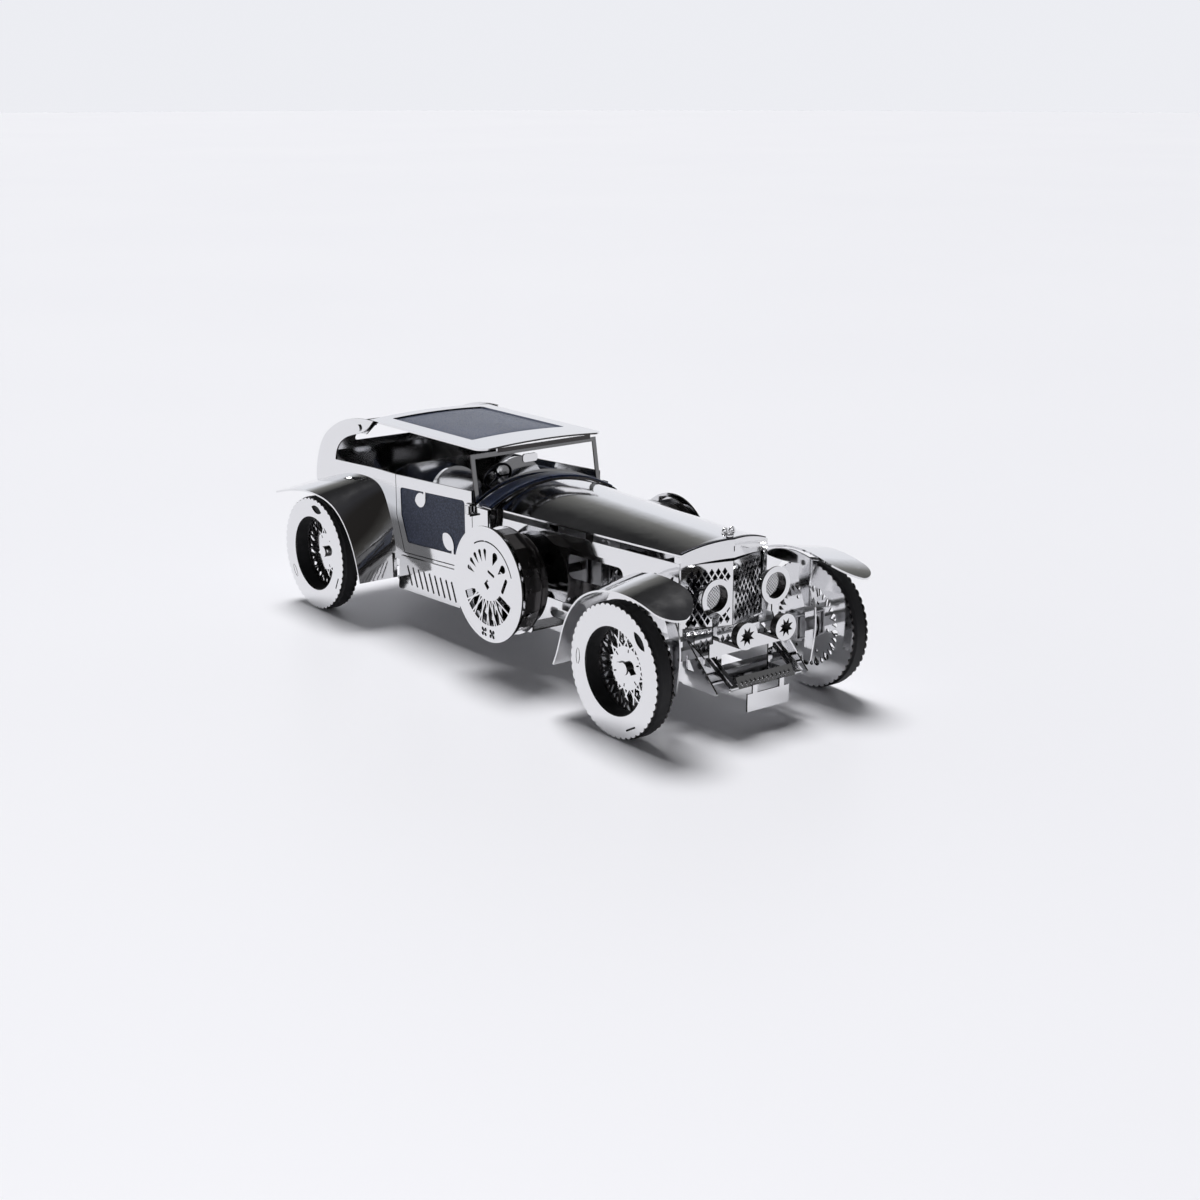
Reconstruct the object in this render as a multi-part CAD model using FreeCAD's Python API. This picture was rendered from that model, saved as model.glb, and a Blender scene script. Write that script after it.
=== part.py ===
import FreeCAD, Part
import math
import os

# A clockwork vintage touring car folded from laser-cut polished steel sheet.
# Millimetres.  +X points to the nose, +Y to the car's left, +Z up, ground at z = 0.
# Pieces are drawn from the builder's datum and saved with the origin at mid-length.

V = FreeCAD.Vector

# ---- overall sizes ----
nose_x = 99.0                   # tips of the front wings
tail_x = -97.0                  # tips of the rear fenders
half_width = 37.0               # outer faces of the wheels
roof_height = 61.7
middle_x = (nose_x + tail_x) / 2

# ---- stock and fits ----
steel = 0.5                     # sheet thickness
leather = 0.7                   # leather inset thickness
gap = 0.1                       # air between neighbouring folded pieces
fit = 0.05                      # radial clearance of a running shaft

# ---- wheels and axles ----
wheel_radius = 18.0
wheel_width = 5.6
tyre_hole_radius = 11.8
ring_radius = wheel_radius - 0.3  # over the tread scallops
tread_scallops = 50
scallop_depth = 0.55
spoke_disc_depth = 4.3          # outer face of the wheel to the outer face of the spokes
spoke_pairs = 14
spoke_root = 5.6
spoke_tip = tyre_hole_radius - 0.5
spoke_lean = 24.0               # degrees
spoke_width = 0.5
front_axle_x = 77.6
rear_axle_x = -74.0
axle_z = wheel_radius
axle_radius = 1.2
stub_radius = 1.0
wheel_inner_y = half_width - wheel_width

# ---- steering ----
kingpin_y = wheel_inner_y - 2.7
kingpin_radius = 0.8
brake_disc_radius = 4.4
steering_arm = 9.0              # kingpin to tie-rod pin
tie_pin_radius = 0.5
tie_rod_z = axle_z + 0.5
steering_centre = (-11.0, -10.0, 50.0)
steering_radius = 4.4
column_slope = -0.5             # fall of the column per millimetre forward

# ---- body ----
body_half = 23.5                # outer face of the body sides
rail_y = 13.0                   # outer face of the chassis rails
chassis_rear_x = rear_axle_x - 14.0
floor_z = axle_z + 2.0
belt_front_z = 48.3
belt_rear_z = 46.4
door_front_x = -5.0
door_rear_x = -45.7
cowl_front_x = 3.0
scuttle_back_x = -2.9
scuttle_edge_z = 44.6
scuttle_crest_z = 50.6
scuttle_half = body_half - 0.9
roof_front_x = -1.2
roof_rear_x = -62.0
roof_half = body_half - 1.2
roof_crown = 1.0
roof_hinge_x = -66.5
roof_hinge_z = roof_height - 4.1
roof_pin_radius = 0.7
windscreen_air = 0.7            # under the roof leather
windscreen_top_z = roof_height - roof_crown - steel - leather - windscreen_air
door_gap = 0.3
hinge_x = door_front_x
hinge_y = body_half + 1.1
hinge_pin_radius = 0.4
hinge_levels = (floor_z + 9.0, floor_z + 22.0)
hinge_length = 2.4

# ---- bonnet and radiator ----
bonnet_back_x = 3.6
bonnet_front_x = 77.4
bonnet_back_half = body_half - 3.0
bonnet_front_half = 15.0
bonnet_back_edge_z = 44.4
bonnet_back_crest_z = 50.2
bonnet_front_edge_z = 44.9
bonnet_front_crest_z = 47.6
bonnet_crease_z = 38.6
bonnet_side_base_z = floor_z + 3.0
shoulder_gap = 1.9              # open slot between bonnet top and side
radiator_x = 77.9
radiator_tip_x = 81.8
radiator_base_z = floor_z + 3.2
shell_half = bonnet_front_half + 0.1
mesh_top_z = bonnet_front_edge_z - 2.9
apron_front_x = 95.5
splash_y = rail_y + 3.2
horn_front_x = 95.4             # tips of the dumb irons

# ---- lamps ----
headlamp_x = 87.0
headlamp_y = bonnet_front_half - 4.7
headlamp_z = axle_z + 16.7
headlamp_radius = 5.1
headlamp_lens_radius = 3.6
headlamp_recess = 1.9           # ring face to lens
fog_x = 94.8
fog_y = 6.8
fog_z = axle_z + 7.7
fog_radius = 3.6

# ---- spare wheels and clockwork ----
spare_x = 17.4
spare_z = 27.2
winding_drum_depth = 5.0
winding_cup_depth = 3.2
winding_front_air = 1.2         # between a spare wheel's face and the first disc behind it
spare_bracket_gap = 0.4
spare_bracket_air = 1.1         # bracket to bonnet side
spare_bracket_y = bonnet_back_half + spare_bracket_air
stack_inner_y = spare_bracket_y + steel + spare_bracket_gap
stack_depth = 4 * steel + winding_front_air + winding_drum_depth + winding_cup_depth
spare_face_y = stack_inner_y + stack_depth
spare_radius = 16.5
spare_hub_radius = 4.6
spare_spoke_tip = spare_radius - 4.7
module = 1.0                    # gear tooth size
gear_face = 0.8                 # gear thickness
barrel_teeth = 28
idler_teeth = (26, 24, 22)
pinion_teeth = 12
tooth_rise = 0.8 * module       # pitch circle to tooth tip
gear_air = 0.8                  # free space round the tooth tips
plate_y = 1.6                   # outer faces of the gear plates
motor_plate_y = 8.5
arbor_radius = 1.3
winding_square = 2.2            # across the flats of the key hole
drum_radius = 11.0


# ---- drawing helpers: flat outlines lie in XY ----

def polygon(points):
    corners = [V(x, y, 0) for x, y in points]
    return Part.makePolygon(corners + [corners[0]])


def rounded(points, radius):
    """Closed outline with every corner turned to an arc."""
    bends = []
    for i, point in enumerate(points):
        corner = V(point[0], point[1], 0)
        back = V(*points[i - 1], 0) - corner
        ahead = V(*points[(i + 1) % len(points)], 0) - corner
        back.normalize()
        ahead.normalize()
        half = back.getAngle(ahead) / 2
        reach = radius / math.tan(half)
        inward = back + ahead
        inward.normalize()
        crown = corner + inward * (radius / math.sin(half) - radius)
        bends.append((corner + back * reach, crown, corner + ahead * reach))
    edges = []
    for i, bend in enumerate(bends):
        edges.append(Part.Arc(*bend).toShape())
        start = bend[2]
        end = bends[(i + 1) % len(bends)][0]
        if start.distanceToPoint(end) > 1e-6:
            edges.append(Part.makeLine(start, end))
    return Part.Wire(edges)


def outline(*runs):
    """Closed outline of runs: two points a line, three an arc, more a smooth curve."""
    edges = []
    for run in runs:
        points = [V(x, y, 0) for x, y in run]
        if len(points) == 2:
            edges.append(Part.makeLine(*points))
        elif len(points) == 3:
            edges.append(Part.Arc(*points).toShape())
        else:
            curve = Part.BSplineCurve()
            curve.interpolate(points)
            edges.append(curve.toShape())
    return Part.Wire(edges)


def circle(x, y, radius):
    return Part.Wire(Part.makeCircle(radius, V(x, y, 0)))


def slot(x, y, length, width, angle=0.0):
    """Round-ended slot centred at x, y."""
    r = width / 2
    h = length / 2 - r
    ends = [V(-h, -r, 0), V(h, -r, 0), V(h, r, 0), V(-h, r, 0)]
    wire = Part.Wire([
        Part.makeLine(ends[0], ends[1]),
        Part.Arc(ends[1], V(h + r, 0, 0), ends[2]).toShape(),
        Part.makeLine(ends[2], ends[3]),
        Part.Arc(ends[3], V(-h - r, 0, 0), ends[0]).toShape(),
    ])
    wire.rotate(V(0, 0, 0), V(0, 0, 1), angle)
    wire.translate(V(x, y, 0))
    return wire


def lens(x, y, length, width, angle=0.0):
    """Pointed oval centred at x, y."""
    h = length / 2
    r = width / 2
    wire = outline([(-h, 0), (0, -r), (h, 0)], [(h, 0), (0, r), (-h, 0)])
    wire.rotate(V(0, 0, 0), V(0, 0, 1), angle)
    wire.translate(V(x, y, 0))
    return wire


def polar(radius, degrees, x=0.0, y=0.0):
    a = math.radians(degrees)
    return (x + radius * math.cos(a), y + radius * math.sin(a))


def sheet(edge, holes=(), thickness=steel):
    face = Part.makeFace([edge] + list(holes), "Part::FaceMakerBullseye")
    return face.extrude(V(0, 0, thickness)).Solids[0]


def on_right(shape, y):
    """Stand a flat piece up along the car; its thickness grows outward from -y."""
    out = shape.copy()
    out.rotate(V(0, 0, 0), V(1, 0, 0), 90)
    out.translate(V(0, -y, 0))
    return out


def across(shape, x):
    """Stand a flat piece up across the car: X becomes Y, Y becomes Z."""
    out = shape.copy()
    out.rotate(V(0, 0, 0), V(1, 1, 1), 120)
    out.translate(V(x, 0, 0))
    return out


def at_height(shape, z):
    out = shape.copy()
    out.translate(V(0, 0, z))
    return out


def mirrored(shape):
    return shape.mirror(V(0, 0, 0), V(0, 1, 0))


def block(x0, x1, y0, y1, z0, z1):
    return Part.makeBox(x1 - x0, y1 - y0, z1 - z0, V(x0, y0, z0))


def rod(start, end, radius):
    a = V(*start)
    b = V(*end)
    return Part.makeCylinder(radius, a.distanceToPoint(b), a, b - a)


def tube(start, end, radius, bore):
    return rod(start, end, radius).cut(rod(start, end, bore))


def joined(*shapes):
    whole = shapes[0].fuse(list(shapes[1:])).removeSplitter()
    return whole


def shell_profile(points, thickness):
    """Outline of a sheet folded along a run of points, grown to the right of the run."""
    offset = []
    last = len(points) - 1
    for i, (x, y) in enumerate(points):
        normals = []
        for a, b in ((i - 1, i), (i, i + 1)):
            if a >= 0 and b <= last:
                dx = points[b][0] - points[a][0]
                dy = points[b][1] - points[a][1]
                length = math.hypot(dx, dy)
                normals.append((dy / length, -dx / length))
        nx = sum(n[0] for n in normals) / len(normals)
        ny = sum(n[1] for n in normals) / len(normals)
        scale = thickness / (nx * nx + ny * ny)
        offset.append((x + nx * scale, y + ny * scale))
    return list(points) + offset[::-1]


def side_wire(points, y):
    corners = [V(x, y, z) for x, z in points]
    return Part.makePolygon(corners + [corners[0]])


def cross_wire(points, x):
    corners = [V(x, y, z) for y, z in points]
    return Part.makePolygon(corners + [corners[0]])


def folded(inner, outer, inner_y, outer_y, thickness=steel):
    """Right-hand sheet folded between an inner and an outer run of (x, z) points."""
    first = side_wire(shell_profile(inner, thickness), -inner_y)
    second = side_wire(shell_profile(outer, thickness), -outer_y)
    return Part.makeLoft([first, second], True, True)


def bent_wire(points, y, thickness):
    """Closed section of a sheet rolled smoothly through a run of (x, z) points."""
    whole = shell_profile(points, thickness)
    corners = [V(x, y, z) for x, z in whole]
    count = len(points)
    near = Part.BSplineCurve()
    near.interpolate(corners[:count])
    far = Part.BSplineCurve()
    far.interpolate(corners[count:])
    return Part.Wire([
        near.toShape(), Part.makeLine(corners[count - 1], corners[count]),
        far.toShape(), Part.makeLine(corners[-1], corners[0]),
    ])


def rolled(inner, outer, inner_y, outer_y, thickness=steel):
    """Right-hand sheet rolled smoothly between an inner and an outer run of (x, z) points."""
    sections = [bent_wire(inner, -inner_y, thickness), bent_wire(outer, -outer_y, thickness)]
    return Part.makeLoft(sections, True, True)


def round_wheel(axle_x, runs):
    """Points (x, z) round an axle from (degrees above the forward level, air outside the tyre)."""
    return [polar(wheel_radius + air, degrees, axle_x, axle_z) for degrees, air in runs]


def arch_edges(half, edge_z, crest_z, thickness, x):
    """Closed arch section: crown arc outside, the same arc a thickness lower inside."""
    a = [V(x, -half, edge_z), V(x, 0, crest_z), V(x, half, edge_z)]
    drop = V(0, 0, -thickness)
    b = [p + drop for p in a]
    return Part.Wire([
        Part.Arc(*a).toShape(),
        Part.makeLine(a[2], b[2]),
        Part.Arc(b[2], b[1], b[0]).toShape(),
        Part.makeLine(b[0], a[0]),
    ])


def arch(x0, x1, half, edge_z, crest_z, thickness=steel):
    face = Part.Face(arch_edges(half, edge_z, crest_z, thickness, x0))
    return face.extrude(V(x1 - x0, 0, 0))


def arch_taper(x0, back, x1, front, thickness=steel):
    """Arch that changes from a back to a front section of (half, edge_z, crest_z)."""
    first = arch_edges(*back, thickness, x0)
    second = arch_edges(*front, thickness, x1)
    return Part.makeLoft([first, second], True, True)


def pierce(shape, wires, y0, y1):
    """Cut outlines drawn in (x, z) straight through between two y stations."""
    for wire in wires:
        tool = sheet(wire, (), abs(y1 - y0))
        tool.rotate(V(0, 0, 0), V(1, 0, 0), 90)
        tool.translate(V(0, max(y0, y1), 0))
        shape = shape.cut(tool)
    return shape.Solids[0]


def save(name, *shapes):
    solids = [s for shape in shapes for s in shape.Solids]
    whole = solids[0] if len(solids) == 1 else Part.makeCompound(solids)
    whole = whole.copy()
    whole.translate(V(-middle_x, 0, 0))
    print(name, len(solids), round(whole.Volume, 2), whole.isValid())
    whole.exportStep("parts/" + name + ".step")


# ---- wheels: drawn with the inner face at z = 0 and the outer face at wheel_width ----

def scalloped(radius, count, depth):
    step = 360.0 / count
    edges = []
    for k in range(count):
        a = polar(radius - depth, k * step)
        b = polar(radius, (k + 0.5) * step)
        c = polar(radius - depth, (k + 1) * step)
        edges.append(Part.Arc(V(*a, 0), V(*b, 0), V(*c, 0)).toShape())
    return Part.Wire(edges)


def tyre():
    width = wheel_width - 2 * steel
    edge = 0.8
    half = [
        (tyre_hole_radius, steel), (wheel_radius - edge, steel),
        (wheel_radius, steel + edge), (wheel_radius, steel + width - edge),
        (wheel_radius - edge, steel + width), (tyre_hole_radius, steel + width),
    ]
    face = Part.Face(Part.makePolygon([V(r, 0, z) for r, z in half + half[:1]]))
    return face.revolve(V(0, 0, 0), V(0, 0, 1), 360)


def tread_ring():
    middle = (ring_radius + tyre_hole_radius) / 2
    holes = [
        circle(0, 0, tyre_hole_radius),
        lens(*polar(middle, 45), 6.0, 2.4, 135),
        lens(*polar(middle, 178), 5.2, 1.7, 88),
        slot(*polar(middle + 0.6, -62), 4.2, 0.5, 28),
    ]
    ring = sheet(scalloped(ring_radius, tread_scallops, scallop_depth), holes)
    tab = sheet(lens(*polar(middle, 178), 4.6, 1.2, 88), [slot(*polar(middle, 178), 3.0, 0.2, 88)])
    bridge = block(-middle - 0.2, -middle + 0.2, -2.9, 2.9, 0, steel)
    bridge.rotate(V(0, 0, 0), V(0, 0, 1), -2)
    return at_height(joined(ring, tab, bridge).Solids[0], wheel_width - steel)


def laced_spokes(root, tip, pairs, start=0.0, span=360.0, lean_by=spoke_lean):
    """Crossed flat spokes between a root and a tip radius."""
    step = span / pairs
    bars = []
    for k in range(pairs):
        for lean in (-lean_by, lean_by):
            a = V(*polar(root - 0.3, start + k * step), 0)
            b = V(*polar(tip + 0.3, start + k * step + lean), 0)
            bar = Part.makeBox(a.distanceToPoint(b), spoke_width, steel, V(0, -spoke_width / 2, 0))
            bar.rotate(V(0, 0, 0), V(0, 0, 1), math.degrees(math.atan2(b.y - a.y, b.x - a.x)))
            bar.translate(a)
            bars.append(bar)
    return bars


def spoke_disc():
    face_z = wheel_width - spoke_disc_depth - steel
    rim = sheet(circle(0, 0, tyre_hole_radius), [circle(0, 0, spoke_tip)])
    petals = [slot(*polar(4.9, 20 + 60 * k), 1.2, 0.4, 20 + 60 * k) for k in range(6)]
    hub = sheet(circle(0, 0, spoke_root + 0.2), [circle(0, 0, stub_radius + fit)] + petals)
    flat = joined(rim, hub, *laced_spokes(spoke_root, spoke_tip, spoke_pairs))
    return at_height(flat.Solids[0], face_z)


def spinner():
    """Two-eared knock-off nut that closes the hub."""
    seat = wheel_width - spoke_disc_depth
    ears = sheet(lens(0, 0, 6.4, 1.9, -20), (), 0.9)
    boss = Part.makeCylinder(1.7, 1.2)
    return at_height(joined(ears, boss).Solids[0], seat)


def petal(radius, degrees, length, width):
    h = length / 2
    r = width / 2
    wire = outline(
        [(-h, 0), (h - r, r)],
        [(h - r, r), (h, 0), (h - r, -r)],
        [(h - r, -r), (-h, 0)],
    )
    wire.rotate(V(0, 0, 0), V(0, 0, 1), degrees)
    wire.translate(V(*polar(radius, degrees), 0))
    return wire


def inner_disc():
    """Inboard disc with its ring of long and short petals, on the hub barrel."""
    holes = [circle(0, 0, stub_radius + fit)]
    for k in range(16):
        holes.append(petal(tyre_hole_radius - 1.3, k * 22.5, 2.7, 2.2))
        holes.append(petal(tyre_hole_radius - 1.2, k * 22.5 + 11.25, 2.0, 1.3))
    holes += [circle(*polar(7.9, 60 * k), 0.5) for k in range(6)]
    disc = sheet(scalloped(ring_radius, tread_scallops, scallop_depth), holes)
    top = wheel_width - spoke_disc_depth - steel
    barrel = tube((0, 0, steel), (0, 0, top), 2.4, stub_radius + fit)
    return joined(disc, barrel).Solids[0]


def place_wheel(shape, x, turn=0.0):
    out = shape.copy()
    out.rotate(V(0, 0, 0), V(0, 0, 1), turn)
    out = on_right(out, wheel_inner_y)
    out.translate(V(x, 0, axle_z))
    return out


def wheels():
    spokes = joined(spoke_disc(), spinner()).Solids[0]
    drawn = {
        "tyre": [tyre()],
        "tread_ring": [tread_ring()],
        "wheel_disc": [spokes, inner_disc()],
    }
    for name, shapes in drawn.items():
        front = [place_wheel(shape, front_axle_x) for shape in shapes]
        rear = [place_wheel(shape, rear_axle_x, 35.0) for shape in shapes]
        save("front_right_" + name, *front)
        save("front_left_" + name, *[mirrored(shape) for shape in front])
        save("rear_" + name + "s", *rear, *[mirrored(shape) for shape in rear])


# ---- clockwork ----

def gear_profile(teeth):
    """Stub involute gear outline with its first tooth centred on +X."""
    pressure = math.radians(20)
    pitch = module * teeth / 2
    base = pitch * math.cos(pressure)
    tip = pitch + tooth_rise
    root = pitch - 1.05 * module
    backlash = 0.10 * module

    def involute(radius):
        if radius <= base:
            return 0.0
        a = math.acos(base / radius)
        return math.tan(a) - a

    half_at_pitch = math.pi / (2 * teeth) - backlash / pitch / 2
    flank = []
    start = max(root, base)
    for k in range(5):
        radius = start + (tip - start) * k / 4
        half = half_at_pitch + involute(pitch) - involute(radius)
        flank.append((radius, half))
    points = []
    for tooth in range(teeth):
        centre = 2 * math.pi * tooth / teeth
        foot = flank[0][1]
        points.append((root, centre - foot))
        points += [(r, centre - h) for r, h in flank if r > root]
        points += [(r, centre + h) for r, h in reversed(flank) if r > root]
        points.append((root, centre + foot))
    return polygon([(r * math.cos(a), r * math.sin(a)) for r, a in points])


def solve_train():
    """Bend the train at its first idler so that the last gear lands on the rear axle."""
    counts = (barrel_teeth,) + idler_teeth + (pinion_teeth,)
    steps = [module * (a + b) / 2 for a, b in zip(counts, counts[1:])]
    dx = rear_axle_x - spare_x
    dz = axle_z - spare_z
    reach = math.hypot(dx, dz)
    line = math.atan2(dz, dx)
    first = steps[0]
    rest = sum(steps[1:])
    cosine = (first * first + reach * reach - rest * rest) / (2 * first * reach)
    lift = math.acos(max(-1.0, min(1.0, cosine)))
    heading = line - lift
    x = spare_x + first * math.cos(heading)
    z = spare_z + first * math.sin(heading)
    onward = math.atan2(axle_z - z, rear_axle_x - x)
    headings = [heading] + [onward] * (len(steps) - 1)
    centres = [(spare_x, spare_z)]
    for step, angle in zip(steps, headings):
        last = centres[-1]
        centres.append((last[0] + step * math.cos(angle), last[1] + step * math.sin(angle)))
    phases = [0.0]
    for k, angle in enumerate(headings):
        lead = phases[k] - angle
        ratio = counts[k] / counts[k + 1]
        phases.append(angle + math.pi - lead * ratio + math.pi / counts[k + 1])
    return counts, centres, phases


gear_counts, gear_centres, gear_phases = solve_train()


def gear(index, holes=()):
    blank = sheet(gear_profile(gear_counts[index]), holes, gear_face)
    blank.rotate(V(0, 0, 0), V(0, 0, 1), math.degrees(gear_phases[index]))
    out = on_right(blank, -gear_face / 2)
    x, z = gear_centres[index]
    out.translate(V(x, 0, z))
    return out


def idler(index):
    """Idler wheel fixed on its own pivot, which runs in both gear plates."""
    r = module * gear_counts[index] / 2
    windows = [circle(*polar(r * 0.58, 72 * k), r * 0.2) for k in range(5)]
    x, z = gear_centres[index]
    pivot_end = plate_y + 0.2
    pivot = rod((x, -pivot_end, z), (x, pivot_end, z), 0.8)
    collar = rod((x, -plate_y + steel + gap, z), (x, plate_y - steel - gap, z), 1.6)
    return joined(gear(index, windows), collar, pivot).Solids[0]


def spring_barrel():
    """Toothed barrel cup: gear disc, drum wall and lid, turning on the arbor."""
    x, z = gear_centres[0]
    bore = arbor_radius + fit
    disc = gear(0, [circle(0, 0, bore)])
    drum_start = gear_face / 2
    drum_end = motor_plate_y - steel - 0.4
    wall = tube((x, drum_start, z), (x, drum_end - steel, z), drum_radius, drum_radius - steel)
    lid = tube((x, drum_end - steel, z), (x, drum_end, z), drum_radius, bore)
    return joined(disc, wall, lid).Solids[0]


def mainspring():
    """Spiral steel strip between the arbor and the drum wall."""
    x, z = gear_centres[0]
    turns = 5
    steps = turns * 24
    first = arbor_radius + 0.8
    last = drum_radius - steel - 0.15
    strip = 0.35

    def spiral(offset):
        run = []
        for k in range(steps + 1):
            radius = first + (last - first) * k / steps + offset
            run.append(polar(radius, 360.0 * turns * k / steps))
        return run

    edge = polygon(spiral(-strip / 2) + spiral(strip / 2 - 0.001)[::-1])
    length = motor_plate_y - 2 * steel - 0.4 - gear_face / 2 - 0.6
    coil = on_right(sheet(edge, (), length), -(gear_face / 2 + 0.3) - length)
    coil.translate(V(x, 0, z))
    return coil


def gear_plates():
    """Long right plate, its rear left partner, and the wide motor plate at the front."""
    margin = 3.4
    back = V(gear_centres[4][0], gear_centres[4][1], 0)
    front = V(gear_centres[0][0], gear_centres[0][1], 0)
    corners = [
        (back.x - margin, back.y - margin), (front.x + margin, front.y - margin * 1.6),
        (front.x + margin, front.y + margin * 1.6), (front.x - margin * 2, front.y + margin),
        (back.x - margin, back.y + margin),
    ]
    pivots = [circle(*gear_centres[k], 0.8 + fit) for k in (1, 2, 3)]
    axle_hole = [circle(*gear_centres[4], axle_radius + fit)]
    arbor_hole = [circle(*gear_centres[0], arbor_radius + fit)]
    right = on_right(sheet(rounded(corners, 2.5), pivots + axle_hole + arbor_hole), plate_y - steel)
    short = [
        (back.x - margin, back.y - margin), (-0.5, gear_centres[1][1] - margin - 1.2),
        (-0.5, gear_centres[1][1] + margin + 1.0), (back.x - margin, back.y + margin),
    ]
    left = on_right(sheet(rounded(short, 2.5), pivots + axle_hole), -plate_y)
    face = [
        (front.x - 13, floor_z - 8.5), (front.x + 13, floor_z - 8.5),
        (front.x + 13, front.y + 5), (front.x + 6, front.y + 11),
        (front.x - 6, front.y + 11), (front.x - 13, front.y + 5),
    ]
    motor = on_right(sheet(rounded(face, 2.0), arbor_hole), -motor_plate_y)
    foot_z = floor_z - 8.4
    foot = block(front.x - 11, front.x + 11, motor_plate_y, rail_y - steel, foot_z, foot_z + steel)
    return right, left, joined(motor, foot).Solids[0]


def winding_wheel():
    """Right spare wheel: the winding knob of the spring, with its stack of discs."""
    face = spare_face()
    back_y = spare_face_y - steel
    half = winding_square / 2
    square = block(-half, half, -half, half, -1, steel + 1)
    square.rotate(V(0, 0, 0), V(0, 0, 1), 45)
    face = face.cut(square).Solids[0]
    face = on_right(face, back_y)
    face.translate(V(spare_x, 0, spare_z))
    return face


def spare_face():
    """Face of a spare wheel: plain rim, laced lower half, folded plain upper half."""
    window = outline(
        [polar(spare_spoke_tip, 200), polar(spare_spoke_tip, 270), polar(spare_spoke_tip, 340)],
        [polar(spare_spoke_tip, 340), polar(spare_hub_radius + 1.6, 342)],
        [polar(spare_hub_radius + 1.6, 342), polar(spare_hub_radius, 270), polar(spare_hub_radius + 1.6, 198)],
        [polar(spare_hub_radius + 1.6, 198), polar(spare_spoke_tip, 200)],
    )
    far = spare_spoke_tip + 0.7
    near = spare_spoke_tip + 0.3
    groove = outline(
        [polar(far, 20), polar(far, 70), polar(far, 120)],
        [polar(far, 120), polar(near, 120)],
        [polar(near, 120), polar(near, 70), polar(near, 20)],
        [polar(near, 20), polar(far, 20)],
    )
    scrolls = [petal(8.4, angle, 3.6, 1.3) for angle in (96, 112, 128, 144, 160)]
    scrolls += [petal(8.6, angle, 4.2, 2.4) for angle in (38, 66)]
    scrolls += [slot(*polar(8.2, 8), 5.0, 1.2, 62), slot(*polar(3.9, 62), 3.4, 0.8, -20)]
    low = spare_radius - 2.5
    quatrefoils = [circle(x, z - low, 0.55) for x in (-2.6, -1.2, 1.2, 2.6) for z in (-0.7, 0.7)]
    quatrefoils += [circle(x, -low, 0.6) for x in (-1.9, 1.9)]
    plain = sheet(circle(0, 0, spare_radius), [window, groove] + scrolls)
    for hole in quatrefoils:
        plain = plain.cut(at_height(sheet(hole, (), 3 * steel), -steel))
    bars = laced_spokes(spare_hub_radius, spare_spoke_tip, 7, 206.0, 128.0, 12.0)
    return joined(plain.Solids[0], *bars).Solids[0]


def spare_drum(y, radius, depth):
    """Drum rolled in flats behind a spare wheel, open at both ends."""
    flats = 14
    outer = polygon([polar(radius, 360.0 * k / flats) for k in range(flats)])
    inner = polygon([polar(radius - steel, 360.0 * k / flats) for k in range(flats)])
    drum = on_right(sheet(outer, [inner], depth), y - depth)
    drum.translate(V(spare_x, 0, spare_z))
    for angle in (205, 230, 255, 280, 305, 330):
        x, z = polar(radius, angle, spare_x, spare_z)
        drum = drum.cut(Part.makeSphere(1.3, V(x, -y + depth / 2, z)))
    return drum.Solids[0]


def winding_stack(inner_y):
    """Discs, drums and central arbor behind a spare wheel's face."""
    back_y = spare_face_y - steel
    first_y = back_y - winding_front_air
    second_y = first_y - steel - winding_drum_depth
    third_y = second_y - steel - winding_cup_depth
    parts = []
    for y, radius in ((first_y, spare_radius - 0.7), (second_y, spare_radius - 1.1), (third_y, spare_radius - 3.4)):
        holes = [circle(*polar(radius * 0.62, 45 + 90 * k), radius * 0.16) for k in range(4)]
        disc = on_right(sheet(circle(0, 0, radius), holes), y - steel)
        disc.translate(V(spare_x, 0, spare_z))
        parts.append(disc)
    parts.append(spare_drum(first_y - steel, spare_radius - 1.9, winding_drum_depth))
    parts.append(spare_drum(second_y - steel, spare_radius - 4.0, winding_cup_depth))
    parts.append(rod((spare_x, -back_y, spare_z), (spare_x, -third_y, spare_z), 3.0))
    parts.append(rod((spare_x, -back_y, spare_z), (spare_x, inner_y, spare_z), arbor_radius))
    return joined(*parts).Solids[0]


def spare_bracket():
    """Upright that steadies the arbor outside the bonnet, with a foot on the chassis rail."""
    y = spare_bracket_y
    low = axle_z - 6.0
    edge = rounded([
        (spare_x - 5, low), (spare_x + 5, low), (spare_x + 2.6, spare_z + 3.0), (spare_x - 2.6, spare_z + 3.0),
    ], 1.2)
    upright = on_right(sheet(edge, [circle(spare_x, spare_z, arbor_radius + fit)]), y)
    foot = block(spare_x - 3.5, spare_x + 3.5, -y, -rail_y, low, low + steel)
    return joined(upright, foot).Solids[0]


def clockwork():
    save("spring_barrel", spring_barrel())
    save("mainspring", mainspring())
    for k in (1, 2, 3):
        save("idler_gear_" + str(k), idler(k))
    right, left, motor = gear_plates()
    save("gear_plates", right, left, motor)
    save("winding_wheel", winding_wheel())
    save("winding_arbor", winding_stack(motor_plate_y + 0.3))
    x, z = gear_centres[4]
    shaft_end = wheel_inner_y + wheel_width - spoke_disc_depth
    shaft = rod((x, -shaft_end, z), (x, shaft_end, z), stub_radius + fit)
    thick = rod((x, -wheel_inner_y, z), (x, wheel_inner_y, z), axle_radius)
    save("rear_axle", joined(thick, shaft, gear(4)).Solids[0])
    spare = winding_wheel()
    stack = winding_stack(-bonnet_half_at(spare_x) + 4.0)
    save("left_spare_wheel", mirrored(spare), mirrored(stack))
    bracket = spare_bracket()
    save("spare_brackets", bracket, mirrored(bracket))


# ---- steering ----

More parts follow.
